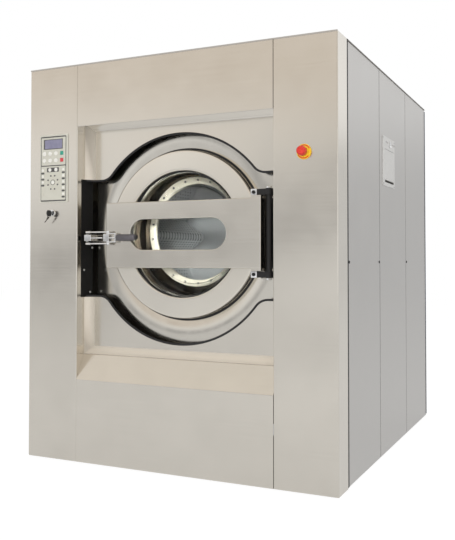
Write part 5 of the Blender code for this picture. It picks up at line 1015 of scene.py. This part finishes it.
def sleeve(inner, outer, cut, length):
    """The profile of a turned sleeve, or of a pin where inner is 0, with both outer edges cut."""
    return [(inner, 0), (outer - cut, 0), (outer, cut), (outer, length - cut), (outer - cut, length),
            (inner, length)]


def on_hinge(profile, level, steps):
    """A turned part on the hinge's axis, from a level upwards."""
    return lathe(profile, (HINGE_X, HINGE_DEPTH, level), steps, "Z")


def hinge_rod(radius, low, high, sides=32):
    """A cylinder on the hinge's axis between two levels."""
    return rod(radius, (HINGE_X, HINGE_DEPTH, low), (HINGE_X, HINGE_DEPTH, high), sides)


def build_hinge():
    """Black arms with chrome clamp blocks, the bracket with its gussets, and the pin with its nuts."""
    centre = HINGE_DEPTH
    for name, (low, high) in ARM_LEVELS.items():
        arm = box((0.388, HINGE_X - 0.004), (centre - 0.013, centre + 0.015), (low + 0.0015, high - 0.0015))
        arm = bevelled(cut_away(arm, hinge_rod(PIN_HOLE, low - 0.01, high + 0.01)), 0.002)
        eye = on_hinge(sleeve(PIN_HOLE, 0.018, 0.0015, high - low), low, 48)
        add_piece(f"{name}_bar", joined(arm, eye), BLACK_ENAMEL, "door", "dark_steel", (name,))
        block = box((0.3602, 0.3898), (centre - 0.0158, centre + 0.015), (low, high), 0.002)
        add_piece(f"{name}_block", block, CHROME, "door", "chrome")
        add_fasteners(f"{name}_bolt", [((0.375, centre - 0.0157, (low + high) / 2), (0, -1, 0))],
                      (0.008, 0.006, 24, 0.85, 0.5), BLACK_ENAMEL, "door", "dark_steel")
    low, high = ARM_LEVELS["lower_hinge_arm"][1] + 0.0003, ARM_LEVELS["upper_hinge_arm"][0] - 0.0003
    levels = (low + 0.010, high - 0.010)
    knuckle = on_hinge(sleeve(PIN_HOLE, 0.014, 0.0015, high - low), low, 48)
    web = cut_away(box((HINGE_X - 0.006, HINGE_X + 0.006), (centre, 0.139), levels),
                   hinge_rod(PIN_HOLE, low - 0.01, high + 0.01))
    plates = [box(xs, depths, levels) for xs, depths in (
        ((0.430, 0.500), (0.135, 0.143)), ((0.494, 0.500), (0.1355, 0.1495)),
        ((0.477, 0.510), (0.1397, 0.1497)))]
    plates = [bevelled(plate, 0.0015) for plate in (web, *plates)]
    add_piece("hinge_bracket_welded", joined(knuckle, *plates), BLACK_ENAMEL, "tub", "dark_steel",
              ("hinge_bracket",))
    for level, down in ((levels[1], -1), (levels[0], 1)):
        outline = [(0.452, level + down * 0.001), (0.494, level + down * 0.001), (0.494, level + down * 0.040)]
        add_piece("bracket_gusset", bevelled(prism(outline, 0.129, 0.1352), 0.001), CHROME, "tub", "chrome")
    low, high = ARM_LEVELS["lower_hinge_arm"][0] - 0.0103, ARM_LEVELS["upper_hinge_arm"][1] + 0.0103
    parts = [on_hinge(sleeve(0, 0.008, 0.001, high - low), low, 32)]
    for start in (low, high - 0.010):
        nut = with_modifiers(hinge_rod(0.013, start + 0.0005, start + 0.0098, 6),
                             ("BEVEL", {"width": 0.0012, "segments": 2, "limit_method": "ANGLE"}))
        parts.append(cut_away(nut, hinge_rod(0.0081, start - 0.01, start + 0.02)))
    add_piece("hinge_pin_and_nuts", joined(*parts), CHROME, "tub", "chrome", ("hinge_pin",))


def knurled(radius, start, end, centre, ribs=18, turns=0.35, steps=26):
    """A grip of twisted ribs, as knurling drawn coarser, from start to end along X round a (y, z) centre."""
    rings = []
    for share in [step / steps for step in range(steps + 1)]:
        slim = 1 - 0.10 * share
        edge = min(1.0, 0.72 + 4 * min(share, 1 - share))
        ring = []
        for i in range(ribs * 4):
            angle = 2 * math.pi * (i / (ribs * 4) + turns * share)
            reach = radius * slim * edge * (1 - 0.055 * (1 + math.cos(i * math.pi / 2)) / 2)
            ring.append((start + (end - start) * share, centre[0] + reach * math.cos(angle),
                         centre[1] + reach * math.sin(angle)))
        rings.append(ring)
    return to_mesh(capped(loft(rings), len(rings[0])), 50)


def capped(work, count):
    """Close a loft of rings of a count of points at both ends."""
    work.verts.ensure_lookup_table()
    work.faces.new(work.verts[:count])
    work.faces.new(work.verts[-count:])
    return work


def build_clamp():
    """The lever with its knurled grip, and the link with its sleeves and ribbed bar."""
    crank_x = CLAMP_X + CLAMP_CRANK * math.cos(math.pi / 4)
    crank_depth = CLAMP_DEPTH - CLAMP_CRANK * math.sin(math.pi / 4)
    cheek = [(CLAMP_X + 0.048, CLAMP_DEPTH + 0.006)]
    for centre, start, end in (((CLAMP_X, CLAMP_DEPTH), 60, 200), ((crank_x, crank_depth), 210, 330)):
        cheek += arc(centre, 0.009, math.radians(start), math.radians(end), 16)
    cheek += [(CLAMP_X + 0.048, CLAMP_DEPTH - 0.006)]
    parts = []
    for side, boss in ((-1, [(0, 0), (0.0085, 0), (0.0085, 0.002), (0.0075, 0.003), (0, 0.003)]),
                       (1, [(0, 0), (0.0075, 0), (0.0085, 0.001), (0.0085, 0.003), (0, 0.003)])):
        middle = CLAMP_Z + side * CHEEK_OFFSET
        parts.append(bevelled(prism(cheek, middle - 0.0025, middle + 0.0025, "Z"), 0.0008))
        parts.append(lathe(boss, (CLAMP_X, CLAMP_DEPTH, middle + side * 0.004 - 0.0015), 32, "Z"))
    parts.append(box((CLAMP_X + 0.041, CLAMP_X + 0.0475), (CLAMP_DEPTH - 0.0055, CLAMP_DEPTH + 0.0055),
                     (CLAMP_Z - 0.0195, CLAMP_Z + 0.0195), 0.001))
    parts.append(rod(0.005, (CLAMP_X, CLAMP_DEPTH, CLAMP_Z - CHEEK_OFFSET),
                     (CLAMP_X, CLAMP_DEPTH, CLAMP_Z + CHEEK_OFFSET)))
    parts.append(lathe([(0, 0), (0.0048, 0), (0.0048, 0.033), (0.0105, 0.0335), (0.0115, 0.0345),
                        (0.0115, 0.0375), (0, 0.0375)], (-0.346, CLAMP_DEPTH, CLAMP_Z), 32, "X"))
    add_piece("clamp_lever_cheeks", joined(*parts), CHROME, "lever", "chrome", ("clamp_lever",))
    add_piece("clamp_grip", knurled(0.0165, -0.3105, -0.2072, (y_at(CLAMP_DEPTH), CLAMP_Z)), GRIP, "lever",
              "black_plastic")
    tip = [(0, 0), (0.0118, 0), (0.0118, 0.004)] + arc((0.0078, 0.0072), 0.004, 0, math.pi / 2, 6)
    tip = lathe(tip + [(0, 0.0112)], (-0.2074, CLAMP_DEPTH, CLAMP_Z), 40, "X")
    add_piece("clamp_grip_end", tip, BLACK_PLASTIC, "lever",
              "black_plastic")
    parts = []
    for z in (CLAMP_Z - ROD_OFFSET, CLAMP_Z + ROD_OFFSET):
        parts.append(rod(0.0042, (LINK_BAR_X, crank_depth, z), (crank_x, crank_depth, z)))
        parts.append(lathe([(0, 0), (0.0055, 0), (0.0068, 0.0012), (0.0068, 0.0228), (0.0055, 0.024),
                            (0, 0.024)], (LINK_BAR_X - 0.006, crank_depth, z), 32, "X"))
        parts.append(lathe(sleeve(0.0043, 0.009, 0.001, 0.010), (crank_x, crank_depth, z - 0.005), 32, "Z"))
        parts.append(rod(0.004, (crank_x, crank_depth, z - 0.0056), (crank_x, crank_depth, z + 0.0056)))
    add_piece("clamp_link_rods", joined(*parts), CHROME, "link", "chrome", ("clamp_link",))
    ribbed = [(0, 0)]
    for base in [0.0042 * rib for rib in range(9)]:
        ribbed += [(0.0058, base + 0.0003), (0.0072, base + 0.0012), (0.0072, base + 0.0030),
                   (0.0058, base + 0.0039)]
    bar = lathe(ribbed + [(0, 0.0381)], (LINK_BAR_X, crank_depth, CLAMP_Z - 0.01905), 32, "Z")
    add_piece("clamp_link_ribbed_bar", bar, ZINC, "link", "chrome")


# Drum, the ring round its mouth, and the dark plate beside the cut-out

ROW_PITCH, HOLE_PITCH, ROWS_ROUND = 0.020, 0.032, 188
HOLE_SHARE = 0.25  # a hole's radius over the distance of the rows


def punched_steel(name, dark, light, metallic, round_rows, start, end):
    """Steel with staggered holes between two depths, twice as coarse as the real 4 mm holes.

    They are 10 mm wide, every 20 mm across and 32 mm along the drum. round_rows lays the rows round the
    drum's axis; without it they lie over a lifter's cheeks. Each step below names its result, what it
    does, and the two results or values that it takes.
    """
    material, tree, shader = new_material(name, light, 0.3, 1.0)
    place = add_node(tree, "ShaderNodeTexCoord")
    split = add_node(tree, "ShaderNodeSeparateXYZ", {"Vector": place.outputs["Object"]})
    found = {axis: split.outputs[axis] for axis in "XYZ"}
    row_steps = [("angle", "ARCTAN2", "height", "X"), ("row", "MULTIPLY", "angle", ROWS_ROUND / (2 * math.pi))]
    if not round_rows:
        row_steps = [("x2", "MULTIPLY", "X", "X"), ("z2", "MULTIPLY", "height", "height"),
                     ("r2", "ADD", "x2", "z2"), ("radius", "SQRT", "r2", 0.0),
                     ("row", "DIVIDE", "radius", ROW_PITCH)]
    for result, operation, first, second in [
            ("height", "SUBTRACT", "Z", TUB_Z), *row_steps,
            ("whole", "FLOOR", "row", 0.0), ("odd", "FLOORED_MODULO", "whole", 2.0),
            ("shift", "MULTIPLY", "odd", 0.5), ("in_row", "FRACT", "row", 0.0),
            ("u", "SUBTRACT", "in_row", 0.5), ("pitch", "DIVIDE", "Y", HOLE_PITCH),
            ("shifted", "ADD", "pitch", "shift"),
            ("in_pitch", "FRACT", "shifted", 0.0), ("along", "SUBTRACT", "in_pitch", 0.5),
            ("v", "MULTIPLY", "along", HOLE_PITCH / ROW_PITCH), ("u2", "MULTIPLY", "u", "u"),
            ("v2", "MULTIPLY", "v", "v"),
            ("reach2", "ADD", "u2", "v2"), ("reach", "SQRT", "reach2", 0.0),
            ("after", "GREATER_THAN", "Y", y_at(start)), ("before", "LESS_THAN", "Y", y_at(end)),
            ("banded", "MULTIPLY", "after", "before"), ("plain", "SUBTRACT", 1.0, "banded"),
            ("metal", "GREATER_THAN", "reach", HOLE_SHARE), ("solid", "MAXIMUM", "metal", "plain")]:
        taken = {0: found.get(first, first), 1: found.get(second, second)}
        found[result] = add_node(tree, "ShaderNodeMath", taken, operation=operation).outputs[0]
    # The holes take the dark colour, matt and hardly metallic: painted shade for the dim tub seen through them.
    dress(tree, shader, found["solid"], (dark, light), span=(0.0, 1.0), metallic=(0.0, metallic),
          roughness=(0.9, 0.28))
    return material


# The first colour of each punched sheet is the painted shade of its holes.
DRUM_WALL = punched_steel("punched_drum_wall", "#17181A", "#D6D8D8", 0.22, True, 0.345, 1.205)
LIFTER_WALL = punched_steel("punched_lifter", "#26282A", "#F1F2F1", 0.12, False, 0.330, 1.195)
# A dark brown copy of polished stainless for the drum's front end: painted shade inside the tub.
DRUM_FRONT = polished_stainless("shaded_drum_front", "#625A4F", "#857B6D", (0.10, 0.20))
DRUM_AXIS = (0, 0, TUB_Z)
DRUM_MOUTH, DRUM_RADIUS, DRUM_BACK, DRUM_CORNER, DRUM_SHEET = 0.305, 0.600, 1.250, 0.015, 0.004
LIFTER_FOOT, LIFTER_HALF, RING_BOLTS = 0.5957, 0.110, 0.2600


def build_drum():
    """The drum's punched wall between plain ends with rolled corners, its mouth ring, and its lifters."""
    front, back = ((DRUM_RADIUS - DRUM_CORNER, depth)
                   for depth in (DRUM_MOUTH + DRUM_CORNER, DRUM_BACK - DRUM_CORNER))
    inside, quarter = DRUM_CORNER - DRUM_SHEET, math.pi / 2
    profile = [(0.245, DRUM_MOUTH)] + arc(front, DRUM_CORNER, -quarter, 0, 5)
    profile += arc(back, DRUM_CORNER, 0, quarter, 5) + [(0, DRUM_BACK), (0, DRUM_BACK - DRUM_SHEET)]
    profile += arc(back, inside, quarter, 0, 5) + arc(front, inside, 0, -quarter, 5)
    shell = lathe(profile + [(0.245, DRUM_MOUTH + DRUM_SHEET)], DRUM_AXIS, 144)
    add_piece("drum_punched_shell", shell, DRUM_WALL, "drum", "polished_steel", ("drum_shell",))
    # The front faces of the drum take the dark copy: painted shade.
    second_finish(shell, DRUM_FRONT, lambda face: face.center.y < y_at(DRUM_MOUTH + 0.002))
    ring = [(0.237, 0.3047), (0.280, 0.3047)] + arc((0.2755, 0.2952), 0.0045, 0, -quarter, 5)
    ring += arc((0.2415, 0.2952), 0.0045, -quarter, -math.pi, 5)
    add_piece("drum_mouth_ring", lathe(ring, DRUM_AXIS, 128), RING_STEEL, "drum", "polished_steel",
              ("drum_front_ring",))
    spots = [((RING_BOLTS * math.cos(a), 0.2908, TUB_Z + RING_BOLTS * math.sin(a)), (0, -1, 0))
             for a in round_angles(22, 0.5)]
    add_fasteners("drum_ring_screws", spots, (0.0058, 0.0034, 24, 0.85, 0.55), BLACK_ENAMEL, "drum",
                  "dark_steel")
    half = math.asin(LIFTER_HALF / LIFTER_FOOT)
    outline = arc((0, 0), LIFTER_FOOT, -half, half, 8)
    outline += [(0.4597, 0.028), (0.4457, 0.014), (0.4457, -0.014), (0.4597, -0.028)]
    for index in range(3):
        turn = Matrix.Rotation(-(math.pi + index * 2 * math.pi / 3), 4, "Y")
        lifter = bevelled(prism(outline, 0.3093, 1.216), 0.006, 3, 20)
        add_piece(f"lifter_{index + 1}_sheet", moved(lifter, Matrix.Translation(DRUM_AXIS) @ turn), LIFTER_WALL,
                  "drum", "polished_steel", (f"lifter_{index + 1}",))


def build_dark_plate():
    """The black plate on the left column's wall beside the cut-out, with its three screws."""
    # Its near-black finish is the plate's own black and painted shade deep in the slot.
    plate = box((-0.5049, -0.5032), (0.034, 0.127), (SLOT_BOTTOM + 0.001, SLOT_TOP - 0.001), 0.0005, 1)
    add_piece("cutout_side_plate", plate, PLATE_BLACK, "cabinet", "dark_steel")
    spots = [((-0.5032, depth, z), (1, 0, 0)) for depth, z in ((0.120, 1.020), (0.055, 0.911), (0.104, 0.803))]
    add_fasteners("side_plate_screws", spots, (0.0058, 0.003, 24, 0.8, 0.5), ZINC, "cabinet", "chrome")


def build_springs():
    """The springs, copied from their CAD nodes as plain meshes in place of those nodes."""
    for node in ("spring_front_left", "spring_front_right", "spring_rear_left", "spring_rear_right"):
        mesh = copied_node(node)
        spring = linked(f"{node}_coil", mesh)
        mesh.materials.append(MACHINE_ENAMEL)
        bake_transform(spring)
        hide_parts(node)


# Seals, screws, hatch, top, rear and fittings

def build_seals():
    """Black strips, painted gap shade: behind the front module, with a lip on the side panels, and between
    those.
    """
    levels = (0.004, HEIGHT - 0.003)
    strips = [box((side * near, side * far), depths, levels) for side in (-1, 1)
              for near, far, depths in ((0.766, 0.7835, (0.1284, 0.1346)), (0.7842, 0.7855, (0.1352, 0.1600)))]
    strips.append(box((-0.766, 0.766), (0.1282, 0.1348), (HEIGHT - 0.016, HEIGHT - 0.003)))
    strips += [box((0.7700, 0.7834), (depth - 0.0013, depth + 0.0013), levels) for depth in (0.7000, 1.2800)]
    # The strips' black is painted shade for the dark gaps.
    add_piece("module_seal", joined(*strips), RUBBER, "cabinet", "rubber")


def build_edges():
    """The bright cap along the front's top edge and the dark strips on the side panels' rear edges."""
    half = WIDTH / 2 - 0.0003
    cap = box((-half, half), (-0.0014, -0.0002), (HEIGHT - 0.0068, HEIGHT), 0.0005)
    add_piece("front_top_cap", cap, SIDE_STEEL, "cabinet", "side_steel")
    strips = [box((side * SIDE_X, side * 0.7862), (1.8300, 1.8378), (0.012, HEIGHT - 0.012), 0.0005, 1)
              for side in (-1, 1)]
    add_piece("rear_edge_strips", joined(*strips), EDGE_BLUE, "cabinet", "rubber")


def build_side_screws():
    """Screws along the side panels' edges and the rivets of the hatch frame."""
    spots = [((side * SIDE_X, depth, 0.950), (side, 0, 0)) for side in (-1, 1)
             for depth in (0.172, 0.686, 1.295)]
    add_fasteners("side_screws", spots, (0.0065, 0.0025, 24, 0.8, 0.5), BLACK_ENAMEL, "cabinet", "dark_steel")
    rivets = [((HATCH_FACE_X, depth, z), (1, 0, 0)) for depth in (0.766, 1.000) for z in (1.342, 1.574)]
    add_fasteners("hatch_rivets", rivets, (0.0042, 0.0018, 24, 0.7, 0.4), ZINC, "cabinet", "chrome")


def build_hatch():
    """The flap with its folded lip on a barrel, and the quarter-turn knob with a coin slot."""
    axis_x, axis_z = HATCH_FACE_X - 0.0035, POCKET_LEVELS[1] - 0.0035 - 0.0006
    flap = box((HATCH_FACE_X - 0.003, HATCH_FACE_X), (0.8025, 0.9875), (1.364, axis_z), 0.0008)
    lip = box((HATCH_FACE_X - 0.014, HATCH_FACE_X - 0.001), (0.8025, 0.9875), (1.364, 1.3655), 0.0004)
    barrel = peg(0.0035, axis_x, axis_z, (0.8013, 0.9887), 32)
    add_piece("hatch_flap_sheet", joined(flap, lip, barrel), HATCH_STEEL, "flap", "side_steel", ("hatch_flap",))
    x = HATCH_FACE_X + 0.0003
    knob = lathe([(0, -0.008), (0.006, -0.008), (0.006, 0), (0.0165, 0), (0.017, 0.0006), (0.017, 0.0016),
                  (0.0155, 0.0027), (0, 0.0027)], (x, KNOB_DEPTH, KNOB_Z), 48, "X")
    groove = box((x + 0.0012, x + 0.01), (KNOB_DEPTH - 0.012, KNOB_DEPTH + 0.012),
                 (KNOB_Z - 0.0016, KNOB_Z + 0.0016))
    add_piece("hatch_knob_turned", cut_away(knob, groove), CHROME, "knob", "chrome", ("hatch_knob",))


def build_top():
    """The top cover, a folded sheet in two lengths with a lapped joint, screwed down along its edges."""
    top, half = HEIGHT - 0.0012, WIDTH / 2 - 0.0005
    lengths = [box((-half, half), depths, (HEIGHT - SHEET, top), 0.0004, 1)
               for depths in ((0.1355, 0.985), (0.9865, CABINET_DEPTH))]
    lap = box((-half + 0.002, half - 0.002), (0.975, 0.996), (top - 0.0001, HEIGHT - 0.0004), 0.0003, 1)
    add_piece("top_cover_sheets", joined(*lengths, lap), SIDE_STEEL, "cabinet", "side_steel", ("top_cover",))
    spots = [((x, depth, top), (0, 0, 1)) for x in (0.014 - half, half - 0.014)
             for depth in (0.17, 0.44, 0.71, 0.95, 1.03, 1.30, 1.57, 1.80)]
    spots += [((x, depth, top), (0, 0, 1)) for x in (-0.50, -0.25, 0.0, 0.25, 0.50) for depth in (0.155, 1.818)]
    add_fasteners("top_cover_screws", spots, (0.0060, 0.0011, 20, 0.8, 0.5), ZINC, "cabinet", "chrome")


def louvre_tree():
    """A pressed louvre hood on each loose vertex."""
    tree, given, taken = new_tree("louvres", {"Hood": "Object", "Finish": "Material"})
    hood = add_node(tree, "GeometryNodeObjectInfo", {"Object": given["Hood"]})
    return end_tree(tree, given, taken, hood.outputs["Geometry"])


def louvre_hood():
    """One louvre, 120 mm long: a quarter-round hood that stands 7 mm out and opens downwards."""
    rings = []
    for along, reach in ((-0.060, 0.15), (-0.056, 0.6), (-0.050, 1.0), (0.050, 1.0), (0.056, 0.6),
                         (0.060, 0.15)):
        outer = [(0.007 * reach * math.sin(a), 0.014 * math.cos(a) - 0.004)
                 for a in (0, 0.3, 0.6, 0.9, 1.2, 1.45)]
        inner = [(max(out - 0.0012, 0.0001), z - 0.0010) for out, z in reversed(outer)]
        rings.append([(along, out, z) for out, z in outer + inner])
    return to_mesh(capped(loft(rings), len(rings[0])), 40)


def build_rear():
    """The rear cover with three blocks of louvres and its screws."""
    half = 0.7637
    pan = folded_pan((-half, half), (1.808, CABINET_DEPTH), (0.1003, SIDE_TOP), (0, -1, 0), FOLD_RADIUS)
    add_piece("rear_cover_sheet", pan, SIDE_STEEL, "cabinet", "side_steel", ("rear_cover",))
    pattern = linked("louvre_hood", louvre_hood())
    spots = [((x, CABINET_DEPTH - 0.0002, low + row * 0.030), (0, 1, 0))
             for x in (-0.42, 0.0, 0.42) for low, rows in ((0.30, 8), (1.16, 6)) for row in range(rows)]
    hoods = grown(louvre_tree(), spots, {"Hood": pattern, "Finish": SIDE_STEEL})
    bpy.data.objects.remove(pattern, do_unlink=True)
    add_piece("rear_louvres", hoods, None, "cabinet", "side_steel")
    screws = [((x, CABINET_DEPTH, z), (0, 1, 0)) for x in (-0.745, 0.745)
              for z in (0.13, 0.42, 0.71, 1.00, 1.29, 1.58, 1.87)]
    screws += [((x, CABINET_DEPTH, z), (0, 1, 0)) for x in (-0.5, -0.25, 0.0, 0.25, 0.5) for z in (0.13, 1.87)]
    add_fasteners("rear_cover_screws", screws, (0.0062, 0.003, 20, 0.8, 0.5), ZINC, "cabinet", "chrome")


def build_fittings():
    """Brass inlets with threads, the drain pipe with its clamp, and the cable gland."""
    back, level = CABINET_DEPTH, 1.620
    profile = [(0.0105, 0.012), (0.0185, 0.012), (0.0185, 0.0185), (0.0155, 0.0205)]
    for base in [0.0225 + thread * 0.005 for thread in range(9)]:
        profile += [(0.0153, base), (0.0165, base + 0.0015), (0.0165, base + 0.0028), (0.0153, base + 0.0043)]
    profile += [(0.0150, 0.078), (0.0105, 0.078)]
    inlets = [lathe(profile, (x, back, level), 32) for x in (-0.52, -0.45, -0.38)]
    plate = box((-0.550, -0.350), (back + 0.0003, back + 0.012), (1.590, 1.650), 0.002)
    add_piece("inlet_fittings", joined(plate, *inlets), BRASS, "cabinet", "brass", ("water_inlets",))
    drain = [(0.042, 0.0003), (0.065, 0.0003), (0.065, 0.005), (0.064, 0.006), (0.0465, 0.006), (0.045, 0.008),
             (0.045, 0.066), (0.0465, 0.068), (0.0465, 0.073), (0.045, 0.075), (0.045, 0.0795), (0.042, 0.0795)]
    add_piece("drain_pipe", lathe(drain, (0.0, back, 0.200), 64), BLACK_PLASTIC, "cabinet", "black_plastic",
              ("drain_outlet",))
    gland = [(0, 0.019), (0.0175, 0.019), (0.019, 0.021), (0.019, 0.031), (0.0165, 0.0385), (0.0140, 0.0398),
             (0.0105, 0.0398), (0.0100, 0.030), (0, 0.030)]
    nut = bevelled(peg(0.025, 0.550, level, (back + 0.0003, back + 0.0195), 6), 0.0015)
    add_piece("gland_nut_and_dome", joined(nut, lathe(gland, (0.550, back, level), 40)), BLACK_PLASTIC,
              "cabinet", "black_plastic", ("cable_gland",))


for build in (build_columns, build_centre_panels, build_recess, build_sides, build_panel, build_keys,
              build_lock, build_stop, build_tub_front, build_gasket, build_door_ring, build_glass,
              build_crossbar, build_hinge, build_clamp, build_drum, build_dark_plate, build_springs,
              build_seals, build_edges, build_side_screws, build_hatch, build_top, build_rear, build_fittings):
    build()


# Floor, light and camera

# How far the floor is lifted towards a plain glow, and the glow's strength in mirrors and seen directly
FLOOR_LIFT, FLOOR_MIRRORED, FLOOR_SEEN = 0.75, 0.80, 1.17
# The world's strength on matt surfaces and seen directly
WORLD_DIFFUSE, WORLD_SEEN = 0.55, 1.0


def build_stage():
    """A pale floor that keeps the machine's shadow; seen directly it is lifted towards white."""
    material, tree, shader = new_material("pale_studio_floor", "#E9E8E6", 0.7)
    seen_by = add_node(tree, "ShaderNodeLightPath").outputs
    level = add_node(tree, "ShaderNodeMapRange",
                     {"To Min": FLOOR_MIRRORED, "To Max": FLOOR_SEEN, "Value": seen_by["Is Camera Ray"]})
    glow = add_node(tree, "ShaderNodeEmission",
                    {"Color": linear("#FFFFFF"), "Strength": level.outputs["Result"]})
    seen = add_node(tree, "ShaderNodeMath", {0: seen_by["Is Camera Ray"], 1: seen_by["Is Glossy Ray"]},
                    operation="MAXIMUM")
    lifted = add_node(tree, "ShaderNodeMath", {0: seen.outputs[0], 1: FLOOR_LIFT}, operation="MULTIPLY")
    mixed = add_node(tree, "ShaderNodeMixShader",
                     {0: lifted.outputs[0], 1: shader.outputs[0], 2: glow.outputs[0]})
    tree.links.new(mixed.outputs[0], tree.nodes["Material Output"].inputs["Surface"])
    work = bmesh.new()
    bmesh.ops.create_grid(work, x_segments=1, y_segments=1, size=14)
    mesh = plain_mesh(work)
    mesh.materials.append(material)
    floor = linked("studio_floor", mesh)
    floor.location.z = -0.001


# What metal and glass see at a sine of elevation: FRONT_TONES and, multiplied in, FRONT_BAND, which climbs
# from left to right, on the door side; BACK_ROOM behind the machine.
FRONT_TONES = [(0.10, "#FFFFFF"), (0.17, "#FFFDFA"), (0.235, "#D9CDC0"), (0.29, "#F0E8DF"), (0.8, "#EDE8E0")]
FRONT_BAND = [(-0.02, "#FFFFFF"), (0.025, "#B2B2B2"), (0.095, "#B2B2B2"), (0.15, "#FFFFFF")]
BACK_ROOM = [(-0.16, "#FFFFFF"), (-0.05, "#D8D8D8"), (0.13, "#D6D6D6"), (0.18, "#FFFFFF"), (0.8, "#EFEFEF")]
BAND_CLIMB, BAND_FROM_X = 0.28, -0.347


def levels_at(tree, sine, stops):
    """Colours along a sine of elevation."""
    share = add_node(tree, "ShaderNodeMapRange", {"From Min": -1.0, "From Max": 1.0, "Value": sine})
    ramp = add_node(tree, "ShaderNodeValToRGB", {"Fac": share.outputs["Result"]})
    elements = ramp.color_ramp.elements
    elements.remove(elements[0])
    for index, (height, colour) in enumerate(stops):
        stop = elements[0] if index == 0 else elements.new((height + 1) / 2)
        stop.position = (height + 1) / 2
        stop.color = linear(colour)
    return ramp.outputs["Color"]


def build_world():
    """White round the machine; metal and glass see a studio whose front has a darker band that climbs."""
    world = bpy.data.worlds.new("studio")
    bpy.context.scene.world = world
    world.use_nodes = True
    tree = world.node_tree
    place = add_node(tree, "ShaderNodeTexCoord")
    parts = add_node(tree, "ShaderNodeSeparateXYZ", {"Vector": place.outputs["Generated"]}).outputs
    across = add_node(tree, "ShaderNodeMath", {0: parts["X"], 1: BAND_FROM_X}, operation="SUBTRACT")
    climbed = add_node(tree, "ShaderNodeMath", {0: across.outputs[0], 1: -BAND_CLIMB, 2: parts["Z"]},
                       operation="MULTIPLY_ADD")
    behind = add_node(tree, "ShaderNodeMapRange", {"From Min": -0.2, "From Max": 0.2, "Value": parts["Y"]})
    front = add_node(tree, "ShaderNodeMix", {
        0: 1.0, 6: levels_at(tree, climbed.outputs[0], FRONT_BAND),
        7: levels_at(tree, parts["Z"], FRONT_TONES)}, data_type="RGBA", blend_type="MULTIPLY")
    room = add_node(tree, "ShaderNodeMix", {
        0: behind.outputs["Result"], 6: front.outputs[2], 7: levels_at(tree, parts["Z"], BACK_ROOM)},
        data_type="RGBA")
    seen_by = add_node(tree, "ShaderNodeLightPath").outputs
    mirrored = add_node(tree, "ShaderNodeMath",
                        {0: seen_by["Is Glossy Ray"], 1: seen_by["Is Transmission Ray"]}, operation="MAXIMUM")
    plain = add_node(tree, "ShaderNodeMapRange",
                     {"To Min": WORLD_DIFFUSE, "To Max": WORLD_SEEN, "Value": seen_by["Is Camera Ray"]})
    level = add_node(tree, "ShaderNodeMix", {
        0: mirrored.outputs[0], 6: plain.outputs["Result"], 7: room.outputs[2]}, data_type="RGBA")
    tree.links.new(level.outputs[2], tree.nodes["Background"].inputs["Color"])


# Each lamp's name, place, target, size and power. Metal doesn't mirror them: it shows the room instead.
LAMPS = [("key", (3.4, -5.2, 4.4), (0.0, -0.6, 0.9), 3.0, 70.0),
         ("side", (5.0, -1.2, 3.4), (0.4, 0.0, 0.9), 3.0, 30.0),
         ("door", (0.9, -4.2, 1.3), (0.0, -0.9, 1.1), 1.4, 42.0),
         ("top", (0.0, 0.5, 5.5), (0.0, 0.0, 1.0), 3.5, 40.0),
         ("back", (-2.0, 5.0, 3.6), (0.0, 0.5, 1.0), 3.0, 30.0)]
SPOT_PLACE, SPOT_TARGET = (1.15, -3.9, 1.45), (-0.05, -0.75, 1.08)


def place_lamp(name, kind, place, target, **settings):
    """A lamp with its settings that looks from its place to its target."""
    light = bpy.data.lights.new(name, kind)
    for key, value in settings.items():
        setattr(light, key, value)
    lamp = linked(name, light)
    lamp.location = place
    lamp.visible_glossy = False
    lamp.rotation_euler = (Vector(target) - Vector(place)).to_track_quat("-Z", "Y").to_euler()


def build_lamps():
    """Soft area lamps round the machine, and a narrow spot through the door's glass into the drum."""
    for name, place, target, size, power in LAMPS:
        place_lamp(name, "AREA", place, target, size=size, energy=power)
    place_lamp("drum_beam", "SPOT", SPOT_PLACE, SPOT_TARGET, energy=460.0, shadow_soft_size=0.15,
               spot_size=math.radians(9), spot_blend=0.4)


CAMERA_PLACE = (1.703, -3.8957, 0.9552)
CAMERA_YAW, CAMERA_PITCH, CAMERA_ROLL = 0.4444, 0.0263, -0.0004
CAMERA_LENS, CAMERA_SHIFT_Y = 50.52, -0.0538


def build_camera():
    """The camera solved from the cabinet's edges."""
    lens = bpy.data.cameras.new("camera")
    lens.sensor_width = 36.0
    lens.sensor_fit = "AUTO"
    lens.lens = CAMERA_LENS
    lens.shift_y = CAMERA_SHIFT_Y
    camera = linked("camera", lens)
    camera.location = CAMERA_PLACE
    camera.rotation_euler = (math.pi / 2 + CAMERA_PITCH, CAMERA_ROLL, CAMERA_YAW)
    bpy.context.scene.camera = camera


build_stage()
build_world()
build_lamps()
build_camera()
bpy.context.scene.view_settings.view_transform = "Standard"
